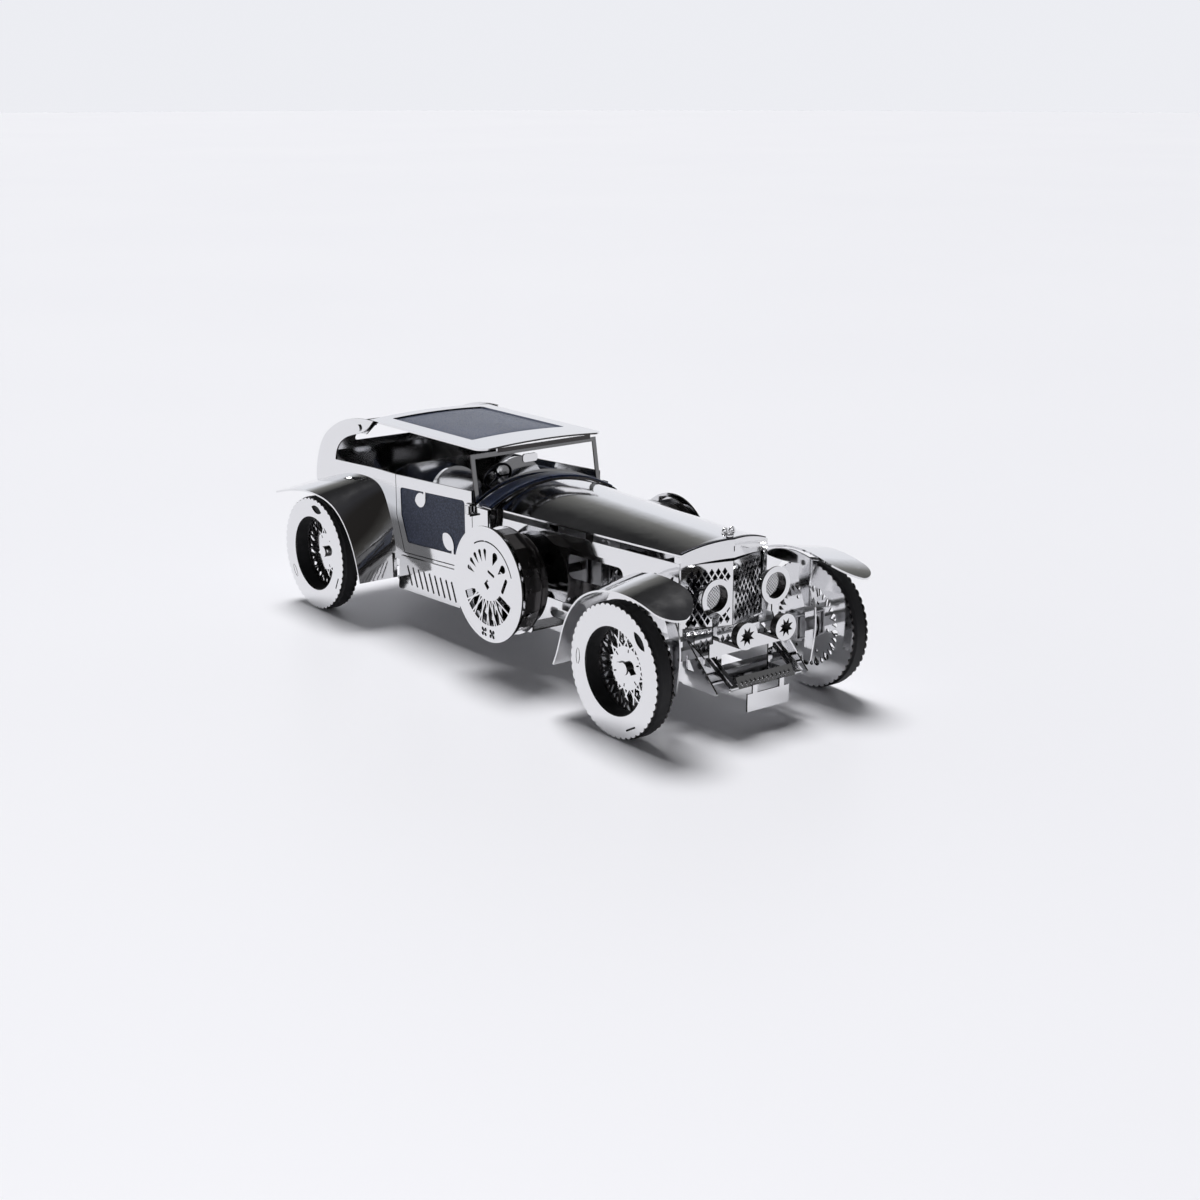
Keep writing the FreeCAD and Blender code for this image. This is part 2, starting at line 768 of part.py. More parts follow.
def knuckle():
    """Right-hand stub axle, kingpin, brake disc and steering arm in one."""
    x = front_axle_x
    z = axle_z
    pin = rod((x, -kingpin_y, z - 4.2), (x, -kingpin_y, z + 4.2), kingpin_radius)
    hub = block(x - 1.2, x + 1.2, -kingpin_y - 1.5, -kingpin_y + 1.2, z - 2.9, z + 2.9)
    stub_end = wheel_inner_y + wheel_width - spoke_disc_depth - gap
    stub = rod((x, -kingpin_y, z), (x, -stub_end, z), stub_radius)
    holes = [circle(*polar(brake_disc_radius - 1.3, 60 * k), 0.5) for k in range(6)]
    disc = on_right(sheet(circle(0, 0, brake_disc_radius), holes), wheel_inner_y - 0.9)
    disc.translate(V(x, 0, z))
    arm = block(x - steering_arm - 1.0, x, -kingpin_y - 1.0, -kingpin_y + 1.0, z - 0.3, z + 0.3)
    ball_x = x - steering_arm
    ball = rod((ball_x, -kingpin_y, z), (ball_x, -kingpin_y, z + 1.6), tie_pin_radius)
    return joined(hub, pin, stub, disc, arm, ball).Solids[0]


def tie_rod():
    """Flat bar with an eye slot at each end for the steering-arm pins."""
    x = front_axle_x - steering_arm
    edge = rounded([
        (x - 1.3, -kingpin_y - 1.6), (x + 1.8, -kingpin_y - 1.6),
        (x + 1.8, kingpin_y + 1.6), (x - 1.3, kingpin_y + 1.6),
    ], 0.6)
    eyes = [slot(x + 0.28, side * kingpin_y, 2.2, 1.3) for side in (-1, 1)]
    return at_height(sheet(edge, eyes), tie_rod_z)


def front_axle_beam():
    x = front_axle_x
    z = axle_z
    inner = kingpin_y - 2.2
    bar = block(x - 1.3, x + 1.3, -inner, inner, z - 1.4, z + 1.4)
    parts = [bar]
    for side in (-1, 1):
        y0, y1 = sorted((side * (kingpin_y + 1.1), side * (inner - steel)))
        for z0 in (z - 3.0 - gap - steel, z + 3.0 + gap):
            ear = block(x - 1.3, x + 1.3, y0, y1, z0, z0 + steel)
            hole = rod((x, side * kingpin_y, z0 - 1), (x, side * kingpin_y, z0 + 2), kingpin_radius + fit)
            parts.append(ear.cut(hole))
        w0, w1 = sorted((side * inner, side * (inner - steel)))
        parts.append(block(x - 1.3, x + 1.3, w0, w1, z - 3.1 - steel, z + 3.1 + steel))
    return joined(*parts).Solids[0]


def column_point(x):
    cx, cy, cz = steering_centre
    return (x, cy, cz + (x - cx) * column_slope)


def steering_wheel():
    """Three-spoke wheel on a shaft that runs inside the column."""
    rim = Part.makeTorus(steering_radius, 0.4)
    arms = [rod((0, 0, 0), (*polar(steering_radius, a), 0), 0.3) for a in (90, 210, 330)]
    boss = Part.makeCylinder(0.9, 1.0, V(0, 0, -0.5))
    wheel = joined(rim, boss, *arms)
    start = V(*column_point(steering_centre[0]))
    end = V(*column_point(cowl_front_x - 1.2))
    turn = FreeCAD.Rotation(V(0, 0, 1), end - start)
    wheel.Placement = FreeCAD.Placement(start, turn)
    shaft = rod(tuple(start), tuple(end), 0.5)
    return joined(wheel, shaft).Solids[0]


def steering_column():
    return tube(column_point(steering_centre[0] + 1.6), column_point(cowl_front_x - steel - 0.6), 0.95, 0.5 + fit)


def steering_gear():
    right = knuckle()
    save("right_knuckle", right)
    save("left_knuckle", mirrored(right))
    save("tie_rod", tie_rod())
    save("front_axle_beam", front_axle_beam())
    save("steering_wheel", steering_wheel())
    save("steering_column", steering_column())


# ---- chassis ----

def chassis_rails():
    """Side rails that end in the sloping dumb irons, each with a bright top strip."""
    tip_x = horn_front_x
    rear_x = chassis_rear_x
    edge = rounded([
        (rear_x, axle_z - 5), (60, axle_z - 8), (79, axle_z - 8.1), (tip_x - 5, axle_z - 7.2),
        (tip_x - 0.4, axle_z - 6.6), (tip_x - 0.2, axle_z - 5.6), (tip_x - 9.8, axle_z + 0.2),
        (74, axle_z + 6.2), (58, axle_z + 4), (24, floor_z), (rear_x, floor_z),
    ], 0.5)
    beam = 1.3
    tie_x = front_axle_x - steering_arm
    holes = [
        circle(rear_axle_x, axle_z, axle_radius + fit),
        polygon([(front_axle_x - beam, axle_z - 1.4), (front_axle_x + beam, axle_z - 1.4),
                 (front_axle_x + beam, axle_z + 1.4), (front_axle_x - beam, axle_z + 1.4)]),
        polygon([(tie_x - 2.2, tie_rod_z - 0.5), (tie_x + 2.8, tie_rod_z - 0.5),
                 (tie_x + 2.8, tie_rod_z + 1.0), (tie_x - 2.2, tie_rod_z + 1.0)]),
    ]
    for k in range(5):
        holes.append(slot(-52 + 19 * k, axle_z - 1.8, 11, 3.0))
    right = on_right(sheet(edge, holes), rail_y - steel)
    run = [(tip_x - 9.7, axle_z + 0.77), (tip_x - 0.1, axle_z - 5.03)]
    strips = [folded(run, run, rail_y - 1.3, rail_y), folded(run, run, rail_y - 3.0, rail_y - 1.7)]
    roll = rod((tip_x - 0.7, -rail_y + 3.0, axle_z - 5.4), (tip_x - 0.7, -rail_y + steel + 0.02, axle_z - 5.4), 0.7)
    return right, joined(*strips, roll).Solids[0]


def floor_pan():
    """Cabin floor, slotted down the middle for the gear train."""
    half = body_half - steel
    back = chassis_rear_x
    edge = polygon([(back, -half), (cowl_front_x, -half), (cowl_front_x, half), (back, half)])
    pinion_reach = module * pinion_teeth / 2 + tooth_rise + gear_air
    x0 = gear_centres[4][0] - pinion_reach
    slot_cut = block(x0, cowl_front_x + 1, -plate_y, plate_y, floor_z - 1, floor_z + 1)
    pan = at_height(sheet(edge), floor_z).cut(slot_cut)
    for x, z in gear_centres[1:4]:
        reach = plate_y + 0.5
        pan = pan.cut(rod((x, -reach, z), (x, reach, z), 1.1))
    return pan.Solids[0]


def diamonds(u0, u1, v0, v1, pitch_u, pitch_v, web):
    """Rows of diamond holes that fit whole inside a rectangle."""
    holes = []
    rows = int((v1 - v0) / (pitch_v / 2)) - 1
    for row in range(rows):
        v = v0 + pitch_v / 2 * (row + 1)
        shift = pitch_u / 2 if row % 2 else 0.0
        count = int((u1 - u0 - shift) / pitch_u)
        for k in range(count):
            u = u0 + shift + pitch_u * (k + 0.5)
            a = pitch_u / 2 - web
            b = pitch_v / 2 - web * pitch_v / pitch_u
            if u + a < u1 and v + b < v1:
                holes.append(polygon([(u - a, v), (u, v - b), (u + a, v), (u, v + b)]))
    return holes


def front_apron():
    """Tray between the dumb irons with a sloping mesh valance in front."""
    inner = rail_y - steel
    half = rail_y - 3.2
    base = axle_z - 6.0
    height = 3.2
    tray = joined(
        block(80, 85, -inner, inner, base + 0.8, base + 0.8 + steel),
        block(80, apron_front_x - 0.9, -half, half, base + 0.8, base + 0.8 + steel),
    )
    mesh = diamonds(-half + 0.8, half - 0.8, 0, height, 1.5, 2.4, 0.2)
    valance = across(sheet(polygon([(-half, 0), (half, 0), (half, height), (-half, height)]), mesh), 0)
    valance.rotate(V(0, 0, 0), V(0, 1, 0), -28)
    valance.translate(V(apron_front_x - steel, 0, base))
    return joined(tray, valance).Solids[0]


def splash_plate():
    """Right outer plate beside the dumb iron, on two spacer tabs."""
    edge = rounded([
        (80.4, axle_z - 6.8), (apron_front_x - 0.9, axle_z - 6.8), (80.4, axle_z + 6.8),
    ], 0.4)
    hole = rounded([(82.0, axle_z - 2.6), (85.2, axle_z - 2.6), (82.0, axle_z + 2.2)], 0.3)
    plate = on_right(sheet(edge, [hole]), splash_y - steel)
    tabs = [block(x, x + 1.2, -splash_y + steel, -rail_y, axle_z - 5.6, axle_z - 5.6 + steel) for x in (82.0, 88.0)]
    return joined(plate, *tabs).Solids[0]


def number_plate():
    """Blank plate hung from the apron on two tabs."""
    half = 7.3
    tab = 0.8
    low = axle_z - 12.4
    high = axle_z - 7.6
    top = axle_z - 5.4
    corners = [(-half, low), (half, low), (half, high)]
    for y in (4.7, -4.7):
        corners += [(y + tab, high), (y + tab, top), (y - tab, top), (y - tab, high)]
    corners.append((-half, high))
    return across(sheet(polygon(corners)), apron_front_x)


def gear_guard():
    """Flat belly plate under the gear train, on which the car can be laid or screwed down."""
    z = axle_z - 12.0
    edge = rounded([(-72, -9), (-2, -9), (-2, 9), (-72, 9)], 3)
    plate = at_height(sheet(edge), z)
    walls = []
    for x in (-66.0, -8.0):
        shelf = z + 6.0
        walls.append(block(x, x + steel, -9, 9, z + steel, shelf))
        walls.append(block(x, x + steel, 9 - steel, rail_y - steel, shelf - steel, shelf + 2.6))
        walls.append(block(x, x + steel, -(rail_y - steel), -(9 - steel), shelf - steel, shelf + 2.6))
    return joined(plate, *walls).Solids[0]


def chassis():
    right, strip = chassis_rails()
    save("chassis_rails", right, strip, mirrored(right), mirrored(strip))
    save("floor_pan", floor_pan())
    splash = splash_plate()
    save("front_apron", front_apron(), splash, mirrored(splash))
    save("number_plate", number_plate())
    save("belly_plate", gear_guard())


# ---- bonnet, radiator and lamps ----

def bonnet_half_at(x):
    """Half-width of the bonnet side's outer face at a station."""
    share = (x - bonnet_back_x) / (bonnet_front_x - bonnet_back_x)
    return bonnet_back_half + 0.3 + (bonnet_front_half - bonnet_back_half) * share


def bonnet_top():
    back = (bonnet_back_half, bonnet_back_edge_z, bonnet_back_crest_z)
    front = (bonnet_front_half, bonnet_front_edge_z, bonnet_front_crest_z)
    return arch_taper(bonnet_back_x, back, bonnet_front_x, front)


def bonnet_side():
    """Right bonnet side: creased panel with tabs up to the bonnet top, and its cut-outs."""
    sections = []
    for x, half, top in (
        (bonnet_back_x, bonnet_back_half, bonnet_back_edge_z - shoulder_gap - steel),
        (bonnet_front_x, bonnet_front_half, bonnet_front_edge_z - shoulder_gap - steel),
    ):
        run = [(-half, top), (-half - 0.3, bonnet_crease_z), (-half - 0.3, bonnet_side_base_z)]
        inside = [(y + steel, z) for y, z in run]
        sections.append(cross_wire(run + inside[::-1], x))
    panel = Part.makeLoft(sections, True, True)
    cuts = [
        rounded([(34, 30.4), (56.4, 30.4), (56.4, 37.2), (34, 37.2)], 2.0),
        outline([(59.5, 30.5), (73, 30.5)], [(73, 30.5), (73, 36.6)], [(73, 36.6), (65.5, 37.2), (59.5, 34)],
                [(59.5, 34), (59.5, 30.5)]),
        circle(75.0, 34.9, 0.8),
        lens(75.0, 38.0, 2.2, 0.9, 60),
        circle(spare_x, spare_z, arbor_radius + 0.4),
    ]
    panel = pierce(panel, cuts, -26, -10)
    tabs = []
    for x0, x1 in ((3.6, 5.6), (41, 44), (75.4, 77.4)):
        share = ((x0 + x1) / 2 - bonnet_back_x) / (bonnet_front_x - bonnet_back_x)
        half = bonnet_back_half + (bonnet_front_half - bonnet_back_half) * share
        top = bonnet_back_edge_z + (bonnet_front_edge_z - bonnet_back_edge_z) * share
        foot = top - shoulder_gap - steel - 0.8
        tabs.append(block(x0, x1, -half + 0.05, -half + steel - 0.05, foot, top - steel - 0.05))
    return joined(panel, *tabs).Solids[0]


def v_planform(back_x, edge_x, tip_x, half):
    plan = polygon([(back_x, -half), (edge_x, -half), (tip_x, 0), (edge_x, half), (back_x, half)])
    return sheet(plan, (), roof_height)


def radiator_shell():
    """V-fronted shell: crowned top, front band with a side frame, and side cheeks."""
    edge_z = bonnet_front_edge_z + 0.1
    crest_z = bonnet_front_crest_z + 0.1
    band_edge = outline(
        [(-shell_half, radiator_base_z), (shell_half, radiator_base_z)],
        [(shell_half, radiator_base_z), (shell_half, edge_z)],
        [(shell_half, edge_z), (0, crest_z), (-shell_half, edge_z)],
        [(-shell_half, edge_z), (-shell_half, radiator_base_z)],
    )
    inner = shell_half - 1.3
    opening = outline(
        [(-inner, radiator_base_z + 1.2), (inner, radiator_base_z + 1.2)],
        [(inner, radiator_base_z + 1.2), (inner, mesh_top_z)],
        [(inner, mesh_top_z), (0, mesh_top_z + 0.8), (-inner, mesh_top_z)],
        [(-inner, mesh_top_z), (-inner, radiator_base_z + 1.2)],
    )
    slit = slot(0, 45.2, 1.5, 0.35, 90)
    front = across(sheet(band_edge, [opening, slit], 10), radiator_x - 3)
    skin = v_planform(radiator_x - 3, radiator_x, radiator_tip_x, shell_half + 1).cut(
        v_planform(radiator_x - 4, radiator_x - steel, radiator_tip_x - steel, shell_half + 2))
    front = front.common(skin)
    top = arch(bonnet_front_x + gap, radiator_tip_x, shell_half, edge_z, crest_z)
    top = top.common(v_planform(bonnet_front_x, radiator_x, radiator_tip_x, shell_half + 1))
    cheeks = []
    for side in (-1, 1):
        y0, y1 = sorted((side * shell_half, side * (shell_half - steel)))
        cheeks.append(block(bonnet_front_x + gap, radiator_x, y0, y1, radiator_base_z, edge_z - 0.02))
    return joined(front, top, *cheeks).Solids[0]


def radiator_grille():
    """Two diamond-mesh panels that meet in a forward ridge."""
    half = shell_half - 1.35
    bottom = radiator_base_z + 1.3
    top = mesh_top_z - 0.1
    rise = math.hypot(half, radiator_tip_x - radiator_x)
    mesh = diamonds(0.5, rise - 0.3, bottom + 0.3, top - 0.3, 1.9, 2.9, 0.2)
    panel = sheet(polygon([(0, bottom), (rise, bottom), (rise, top), (0, top)]), mesh, 0.4)
    panel = across(panel, 0)
    turn = math.degrees(math.atan2(radiator_tip_x - radiator_x, half))
    panel.rotate(V(0, 0, 0), V(0, 0, 1), -turn)
    panel.translate(V(radiator_x - steel - 0.1, -half, 0))
    panel = panel.common(block(60, 100, -half, -0.02, 0, roof_height))
    low = axle_z - 0.6
    high = radiator_base_z - 0.4
    skirt_half = rail_y - steel - 1.0
    mesh = diamonds(-skirt_half + 0.3, skirt_half - 0.3, low + 0.2, high - 0.2, 1.9, 2.9, 0.2)
    edge = [(-skirt_half, low), (skirt_half, low), (skirt_half, high), (-skirt_half, high)]
    skirt = across(sheet(polygon(edge), mesh, 0.4), front_axle_x + 1.7)
    return panel, mirrored(panel), skirt


def radiator_cap():
    """Screw cap with a plain two-ring cross bar."""
    x = radiator_tip_x - 2.5
    z = bonnet_front_crest_z + 0.12
    cap = rod((x, 0, z), (x, 0, z + 0.8), 1.4)
    stem = rod((x, 0, z + 0.8), (x, 0, z + 1.4), 0.5)
    bar = rod((x, -2.2, z + 1.5), (x, 2.2, z + 1.5), 0.3)
    rings = [Part.makeTorus(0.85, 0.3, V(x, y, z + 1.7), V(1, 0, 0)) for y in (-1.2, 1.2)]
    return joined(cap, stem, bar, *rings).Solids[0]


def headlamp():
    """Right headlamp: spun bowl, flat front ring and the recess behind it."""
    back_x = headlamp_x - 4.6
    face_x = headlamp_x - steel
    profile = [
        (back_x, 0), (back_x, 1.6), (back_x + 1.4, 3.6), (face_x, headlamp_radius - 0.3),
        (face_x, headlamp_radius - 0.3 - steel), (back_x + 1.8, 3.1), (back_x + 0.6, 1.4), (back_x + 0.6, 0),
    ]
    bowl = Part.Face(Part.makePolygon([V(x, r, 0) for x, r in profile + profile[:1]]))
    bowl = bowl.revolve(V(0, 0, 0), V(1, 0, 0), 360)
    ring = tube((face_x, 0, 0), (headlamp_x, 0, 0), headlamp_radius, headlamp_lens_radius)
    wall = tube((headlamp_x - headlamp_recess, 0, 0), (face_x, 0, 0), headlamp_lens_radius + 0.3,
                headlamp_lens_radius)
    lamp = joined(bowl, ring, wall).Solids[0]
    lamp.translate(V(0, -headlamp_y, headlamp_z))
    return lamp


def headlamp_lens():
    mesh = []
    span = headlamp_lens_radius
    pitch = 0.9
    count = int(span / pitch)
    for i in range(-count * 2, count * 2 + 1):
        for j in range(-count * 2, count * 2 + 1):
            if (i + j) % 2 == 0 and math.hypot(i * pitch / 2, j * pitch / 2) < span - 0.45:
                u = i * pitch / 2
                v = j * pitch / 2
                h = 0.33
                mesh.append(polygon([(u - h, v), (u, v - h), (u + h, v), (u, v + h)]))
    disc = across(sheet(circle(0, 0, headlamp_lens_radius), mesh, 0.3), headlamp_x - headlamp_recess + gap)
    disc.translate(V(0, -headlamp_y, headlamp_z))
    return disc


def fog_lamp():
    drum = tube((fog_x - 2.5, 0, 0), (fog_x - steel, 0, 0), fog_radius - 0.3, fog_radius - 0.8)
    back = rod((fog_x - 2.5, 0, 0), (fog_x - 2.0, 0, 0), fog_radius - 0.3)
    points = 8
    star = [polar(2.6 if k % 2 else 1.3, 180.0 * k / points) for k in range(2 * points)]
    face = across(sheet(circle(0, 0, fog_radius), [polygon(star)]), fog_x - steel)
    lamp = joined(drum, back, face).Solids[0]
    lamp.translate(V(0, -fog_y, fog_z))
    return lamp


def lamp_bracket():
    """Cross bar between the dumb irons with arms to all four lamps."""
    x = headlamp_x - 0.2
    inner = rail_y - steel
    shelf = axle_z + 4.0
    bar = [block(x - steel, x, -inner, inner, axle_z + 1.0, shelf + 0.6)]
    for side in (-1, 1):
        y0, y1 = sorted((side * (rail_y - 3.2), side * (rail_y - 4.7)))
        bar.append(block(x - steel, x, y0, y1, axle_z - 5.2 + steel, axle_z + 1.0))
        y = side * headlamp_y
        low = headlamp_z - headlamp_radius
        bar.append(block(x - steel, x, y - 1.0, y + 1.0, shelf + 0.6, low + 0.35))
        y = side * fog_y
        bar.append(block(x - steel, fog_x - 2.0, y - 0.8, y + 0.8, shelf, shelf + steel))
        bar.append(block(fog_x - 2.5, fog_x - 2.0, y - 0.8, y + 0.8, shelf, fog_z - fog_radius + 0.45))
    whole = joined(*bar)
    for side in (-1, 1):
        whole = whole.cut(rod((70, side * headlamp_y, headlamp_z), (99, side * headlamp_y, headlamp_z),
                              headlamp_radius))
        whole = whole.cut(rod((70, side * fog_y, fog_z), (99, side * fog_y, fog_z), fog_radius - 0.3))
    return whole.Solids[0]


def engine_block():
    """Folded sheet engine with its rocker cover, side ribs and feet on the rails."""
    back = 37
    front = 56
    half = 9
    foot_z = axle_z - 6.0
    top = floor_z + 16.0
    body = block(back, front, -half, half, foot_z - 0.4, top)
    hollow = block(back + steel, front - steel, -half + steel, half - steel, foot_z - 1, top - steel)
    cover = block(back + 2, front - 2, -4, 4, top, top + 3)
    ribs = []
    for k in range(6):
        x = back + 1.5 + 3.2 * k
        ribs.append(block(x, x + 0.6, -half - 1, -half, floor_z, floor_z + 14))
        ribs.append(block(x, x + 0.6, half, half + 1, floor_z, floor_z + 14))
    feet = [
        block(40, 53, -rail_y + steel, -half, foot_z, foot_z + steel),
        block(40, 53, half, rail_y - steel, foot_z, foot_z + steel),
    ]
    return joined(body.cut(hollow), cover, *ribs, *feet).Solids[0]


def engine_pulley():
    """Star-spoked pulley on the right side of the engine."""
    x = 49.5
    z = floor_z + 11.5
    points = []
    for k in range(5):
        points.append(polar(3.6, 72 * k + 90))
        points.append(polar(1.5, 72 * k + 126))
    star = sheet(polygon(points))
    ring = sheet(circle(0, 0, 4.4), [circle(0, 0, 3.4)])
    wheel = on_right(joined(star, ring).Solids[0], 11.2)
    wheel.translate(V(x, 0, z))
    stud = rod((x, -9.0, z), (x, -11.2, z), 0.7)
    return joined(wheel, stud).Solids[0]


def front_end():
    save("bonnet_top", bonnet_top())
    side = bonnet_side()
    save("bonnet_sides", side, mirrored(side))
    save("radiator_shell", radiator_shell())
    save("radiator_grille", *radiator_grille())
    save("radiator_cap", radiator_cap())
    lamp = headlamp()
    glass = headlamp_lens()
    save("headlamps", lamp, mirrored(lamp), glass, mirrored(glass))
    fog = fog_lamp()
    save("fog_lamps", fog, mirrored(fog))
    save("lamp_bracket", lamp_bracket())
    save("engine_block", engine_block(), engine_pulley())


# ---- wings and fenders ----

def front_wing():
    """Right front wing: rolled strip with a rounded tongue, inner splash panel and stay."""
    x = front_axle_x
    outer = round_wheel(x, [
        (189.9, 8.3), (184.6, 6.7), (160.4, 4.4), (132.4, 3.7), (101.3, 3.0), (73.1, 4.05),
    ])
    inner = round_wheel(x, [
        (189.9, 8.3), (183.5, 6.65), (157.4, 5.4), (130.9, 5.8), (103.9, 5.3), (74.8, 6.35),
    ])
    outer.append((nose_x, axle_z + 17.0))
    inner.append((nose_x, axle_z + 18.6))
    edge_y = body_half + 0.1
    strip = rolled(inner, outer, edge_y, half_width)
    plan = outline(
        [(x - 40, -half_width), (nose_x - 6.5, -half_width)],
        [(nose_x - 6.5, -half_width), (nose_x - 1.8, -35.2), (nose_x, -31.0)],
        [(nose_x, -31.0), (nose_x - 3, -26.2), (nose_x - 11, -edge_y)],
        [(nose_x - 11, -edge_y), (x - 40, -edge_y)],
        [(x - 40, -edge_y), (x - 40, -half_width)],
    )
    strip = strip.common(sheet(plan, (), roof_height)).Solids[0]
    crescent = outline(
        round_wheel(x, [(118.8, 4.4), (86.4, 4.6), (63.2, 5.3)]),
        round_wheel(x, [(63.2, 5.3), (82.9, 1.35), (118.8, 4.4)]),
    )
    r = wheel_radius
    front = [(0.62, 1.2), (0.5, 0.97), (0.46, 0.79), (0.55, 0.59), (0.6, 0.36), (0.6, 0.11), (0.56, -0.17),
             (0.52, -0.39)]
    back = [(0.36, -0.39), (0.4, 0.11), (0.35, 0.5), (0.24, 0.8), (0.3, 1.16)]
    front = [(x + r * u, axle_z + r * v) for u, v in front]
    back = [(x + r * u, axle_z + r * v) for u, v in back]
    splash = outline(front, [front[-1], back[0]], back, [back[-1], front[0]])
    panel = on_right(joined(sheet(crescent), sheet(splash)), edge_y)
    stay_x = x - wheel_radius - 5.7
    stay = block(stay_x, stay_x + steel, -edge_y, -rail_y, axle_z, axle_z + 3.4)
    return [strip, stay] + panel.Solids


def rear_fender():
    """Right rear fender: sloping rolled strip that flares into a flat tail."""
    x = rear_axle_x
    outer = round_wheel(x, [
        (-8.3, 9.8), (7.2, 7.6), (30.6, 5.6), (50.7, 4.1), (80.7, 1.9), (116.6, 3.25),
    ])
    inner = round_wheel(x, [
        (-8.3, 9.8), (16.2, 9.6), (35.6, 10.9), (49.5, 12.0), (67.2, 9.1), (95.3, 5.7),
    ])
    outer.append((tail_x, axle_z + 16.0))
    inner.append((tail_x + 4, axle_z + 19.0))
    return rolled(inner[::-1], outer[::-1], body_half, half_width)


def wings():
    right = front_wing()
    save("right_front_wing", *right)
    save("left_front_wing", *[mirrored(shape) for shape in right])
    fender = rear_fender()
    save("rear_fenders", fender, mirrored(fender))


# ---- body ----

def between_belt_and_roof(share):
    return belt_rear_z + share * (roof_height - belt_rear_z)


quarter_outer = [
    (x, between_belt_and_roof(share)) for x, share in (
        (-58.0, 0.948), (-66, 0.928), (-75.2, 0.817), (-82.5, 0.621), (-88.2, 0.366), (-92.0, 0.007),
    )
]
quarter_outer.append((-94.2, belt_rear_z - 8.9))
quarter_inner = [
    (x, between_belt_and_roof(share)) for x, share in (
        (-81.7, -0.078), (-80.0, 0.203), (-75.5, 0.431), (-69.0, 0.575), (-63.5, 0.693), (-59.5, 0.863),
    )
]


def door_edge(grow):
    """Door outline; grow makes the opening that it hangs in."""
    return [
        (door_rear_x - grow, belt_rear_z), (door_rear_x - grow, floor_z + 14.0),
        (door_rear_x + 4.0 - grow, floor_z + 2.9 - grow), (door_front_x + grow, floor_z + 5.0 - grow),
        (door_front_x + grow, belt_front_z),
    ]


def body_side():
    """Right body side: quarter and roof pillar, sill, and cowl side, with the door's pins."""
    opening = door_edge(door_gap)
    edge = outline(
        quarter_outer,
        [quarter_outer[-1], (-90, floor_z)],
        [(-90, floor_z), (cowl_front_x, floor_z)],
        [(cowl_front_x, floor_z), (cowl_front_x, scuttle_edge_z - steel)],
        [(cowl_front_x, scuttle_edge_z - steel), (opening[4][0], scuttle_edge_z - steel)],
        [(opening[4][0], scuttle_edge_z - steel), opening[3]],
        [opening[3], opening[2]],
        [opening[2], opening[1]],
        [opening[1], (opening[0][0], belt_rear_z)],
        [(opening[0][0], belt_rear_z), (-57.4, belt_rear_z - 0.1)],
        [(-57.4, belt_rear_z - 0.1), quarter_inner[0]],
        quarter_inner,
        [quarter_inner[-1], quarter_outer[0]],
    )
    pivot = circle(roof_hinge_x, roof_hinge_z, roof_pin_radius + fit)
    plate = on_right(sheet(edge, [pivot]), body_half - steel)
    parts = [plate]
    for level in hinge_levels:
        top = level + hinge_length
        parts.append(rod((hinge_x, -hinge_y, level - 0.7), (hinge_x, -hinge_y, top + 0.7), hinge_pin_radius))
        for z in (level - gap - steel, top + gap):
            parts.append(block(hinge_x - 0.4, hinge_x + 1.6, -hinge_y - 0.7, -hinge_y + 0.8, z, z + steel))
            parts.append(block(hinge_x + 0.6, hinge_x + 1.6, -hinge_y + 0.8, -body_half, z, z + steel))
    return joined(*parts).Solids[0]


def leaf(x, z, size, degrees):
    """Plain leaf-shaped clip."""
    wire = outline([(0, 0), (0.55 * size, 0.42 * size), (size, 0)], [(size, 0), (0.5 * size, -0.3 * size), (0, 0)])
    wire.rotate(V(0, 0, 0), V(0, 0, 1), degrees)
    wire.translate(V(x, z, 0))
    return wire


def door_frame():
    """Right door: steel frame with two leaf clips, and hinge curls on its front edge."""
    edge = polygon(door_edge(0.0))
    back = door_rear_x
    front = door_front_x
    low = floor_z
    window = rounded([
        (back + 2.3, belt_rear_z - 3.5), (back + 2.5, low + 14.4), (back + 5.8, low + 6.2),
        (front - 3.6, low + 8.0), (front - 3.6, belt_front_z - 3.4),
    ], 1.2)
    frame = sheet(edge, [window])
    top = belt_rear_z
    stalk_top = sheet(polygon([(-30.4, top - 2.0), (-29.4, top - 2.0), (-29.6, top - 4.8), (-30.8, top - 5.0)]))
    stalk_low = sheet(polygon([(-16.0, low + 7.2), (-14.9, low + 7.2), (-14.9, low + 10.0), (-15.9, low + 10.4)]))
    clips = [sheet(leaf(-29.6, top - 4.2, 6.0, 200)), sheet(leaf(-14.8, low + 9.4, 6.6, 148))]
    flat = joined(frame, stalk_top, stalk_low, *clips).Solids[0]
    parts = [on_right(flat, body_half - steel)]
    for level in hinge_levels:
        top = level + hinge_length
        curl = tube((hinge_x, -hinge_y, level), (hinge_x, -hinge_y, top), 0.85, hinge_pin_radius + fit)
        web = block(hinge_x - 0.85, hinge_x - 0.5, -hinge_y, -body_half, level, top)
        parts += [curl, web]
    return joined(*parts).Solids[0]


def door_leather():
    edge = rounded([
        (door_rear_x + 0.9, belt_rear_z - 2.0), (door_rear_x + 1.1, floor_z + 14.2),
        (door_rear_x + 4.8, floor_z + 4.9), (door_front_x - 2.4, floor_z + 6.9),
        (door_front_x - 2.4, belt_front_z - 2.3),
    ], 0.8)
    return on_right(sheet(edge, (), leather), body_half - steel - leather)


def side_skirt():
    """Right running skirt with slanted louvre slots."""
    back = rear_axle_x + wheel_radius + 11.0
    edge = rounded([
        (back, axle_z - 7.0), (-11.5, axle_z - 6.0), (-4.0, axle_z + 5.6), (back + 1.0, axle_z + 3.6),
    ], 0.6)
    louvres = [slot(back + 6.5 + 3.0 * k, axle_z - 1.8, 6.4, 0.9, 112) for k in range(10)]
    return on_right(sheet(edge, louvres), body_half)


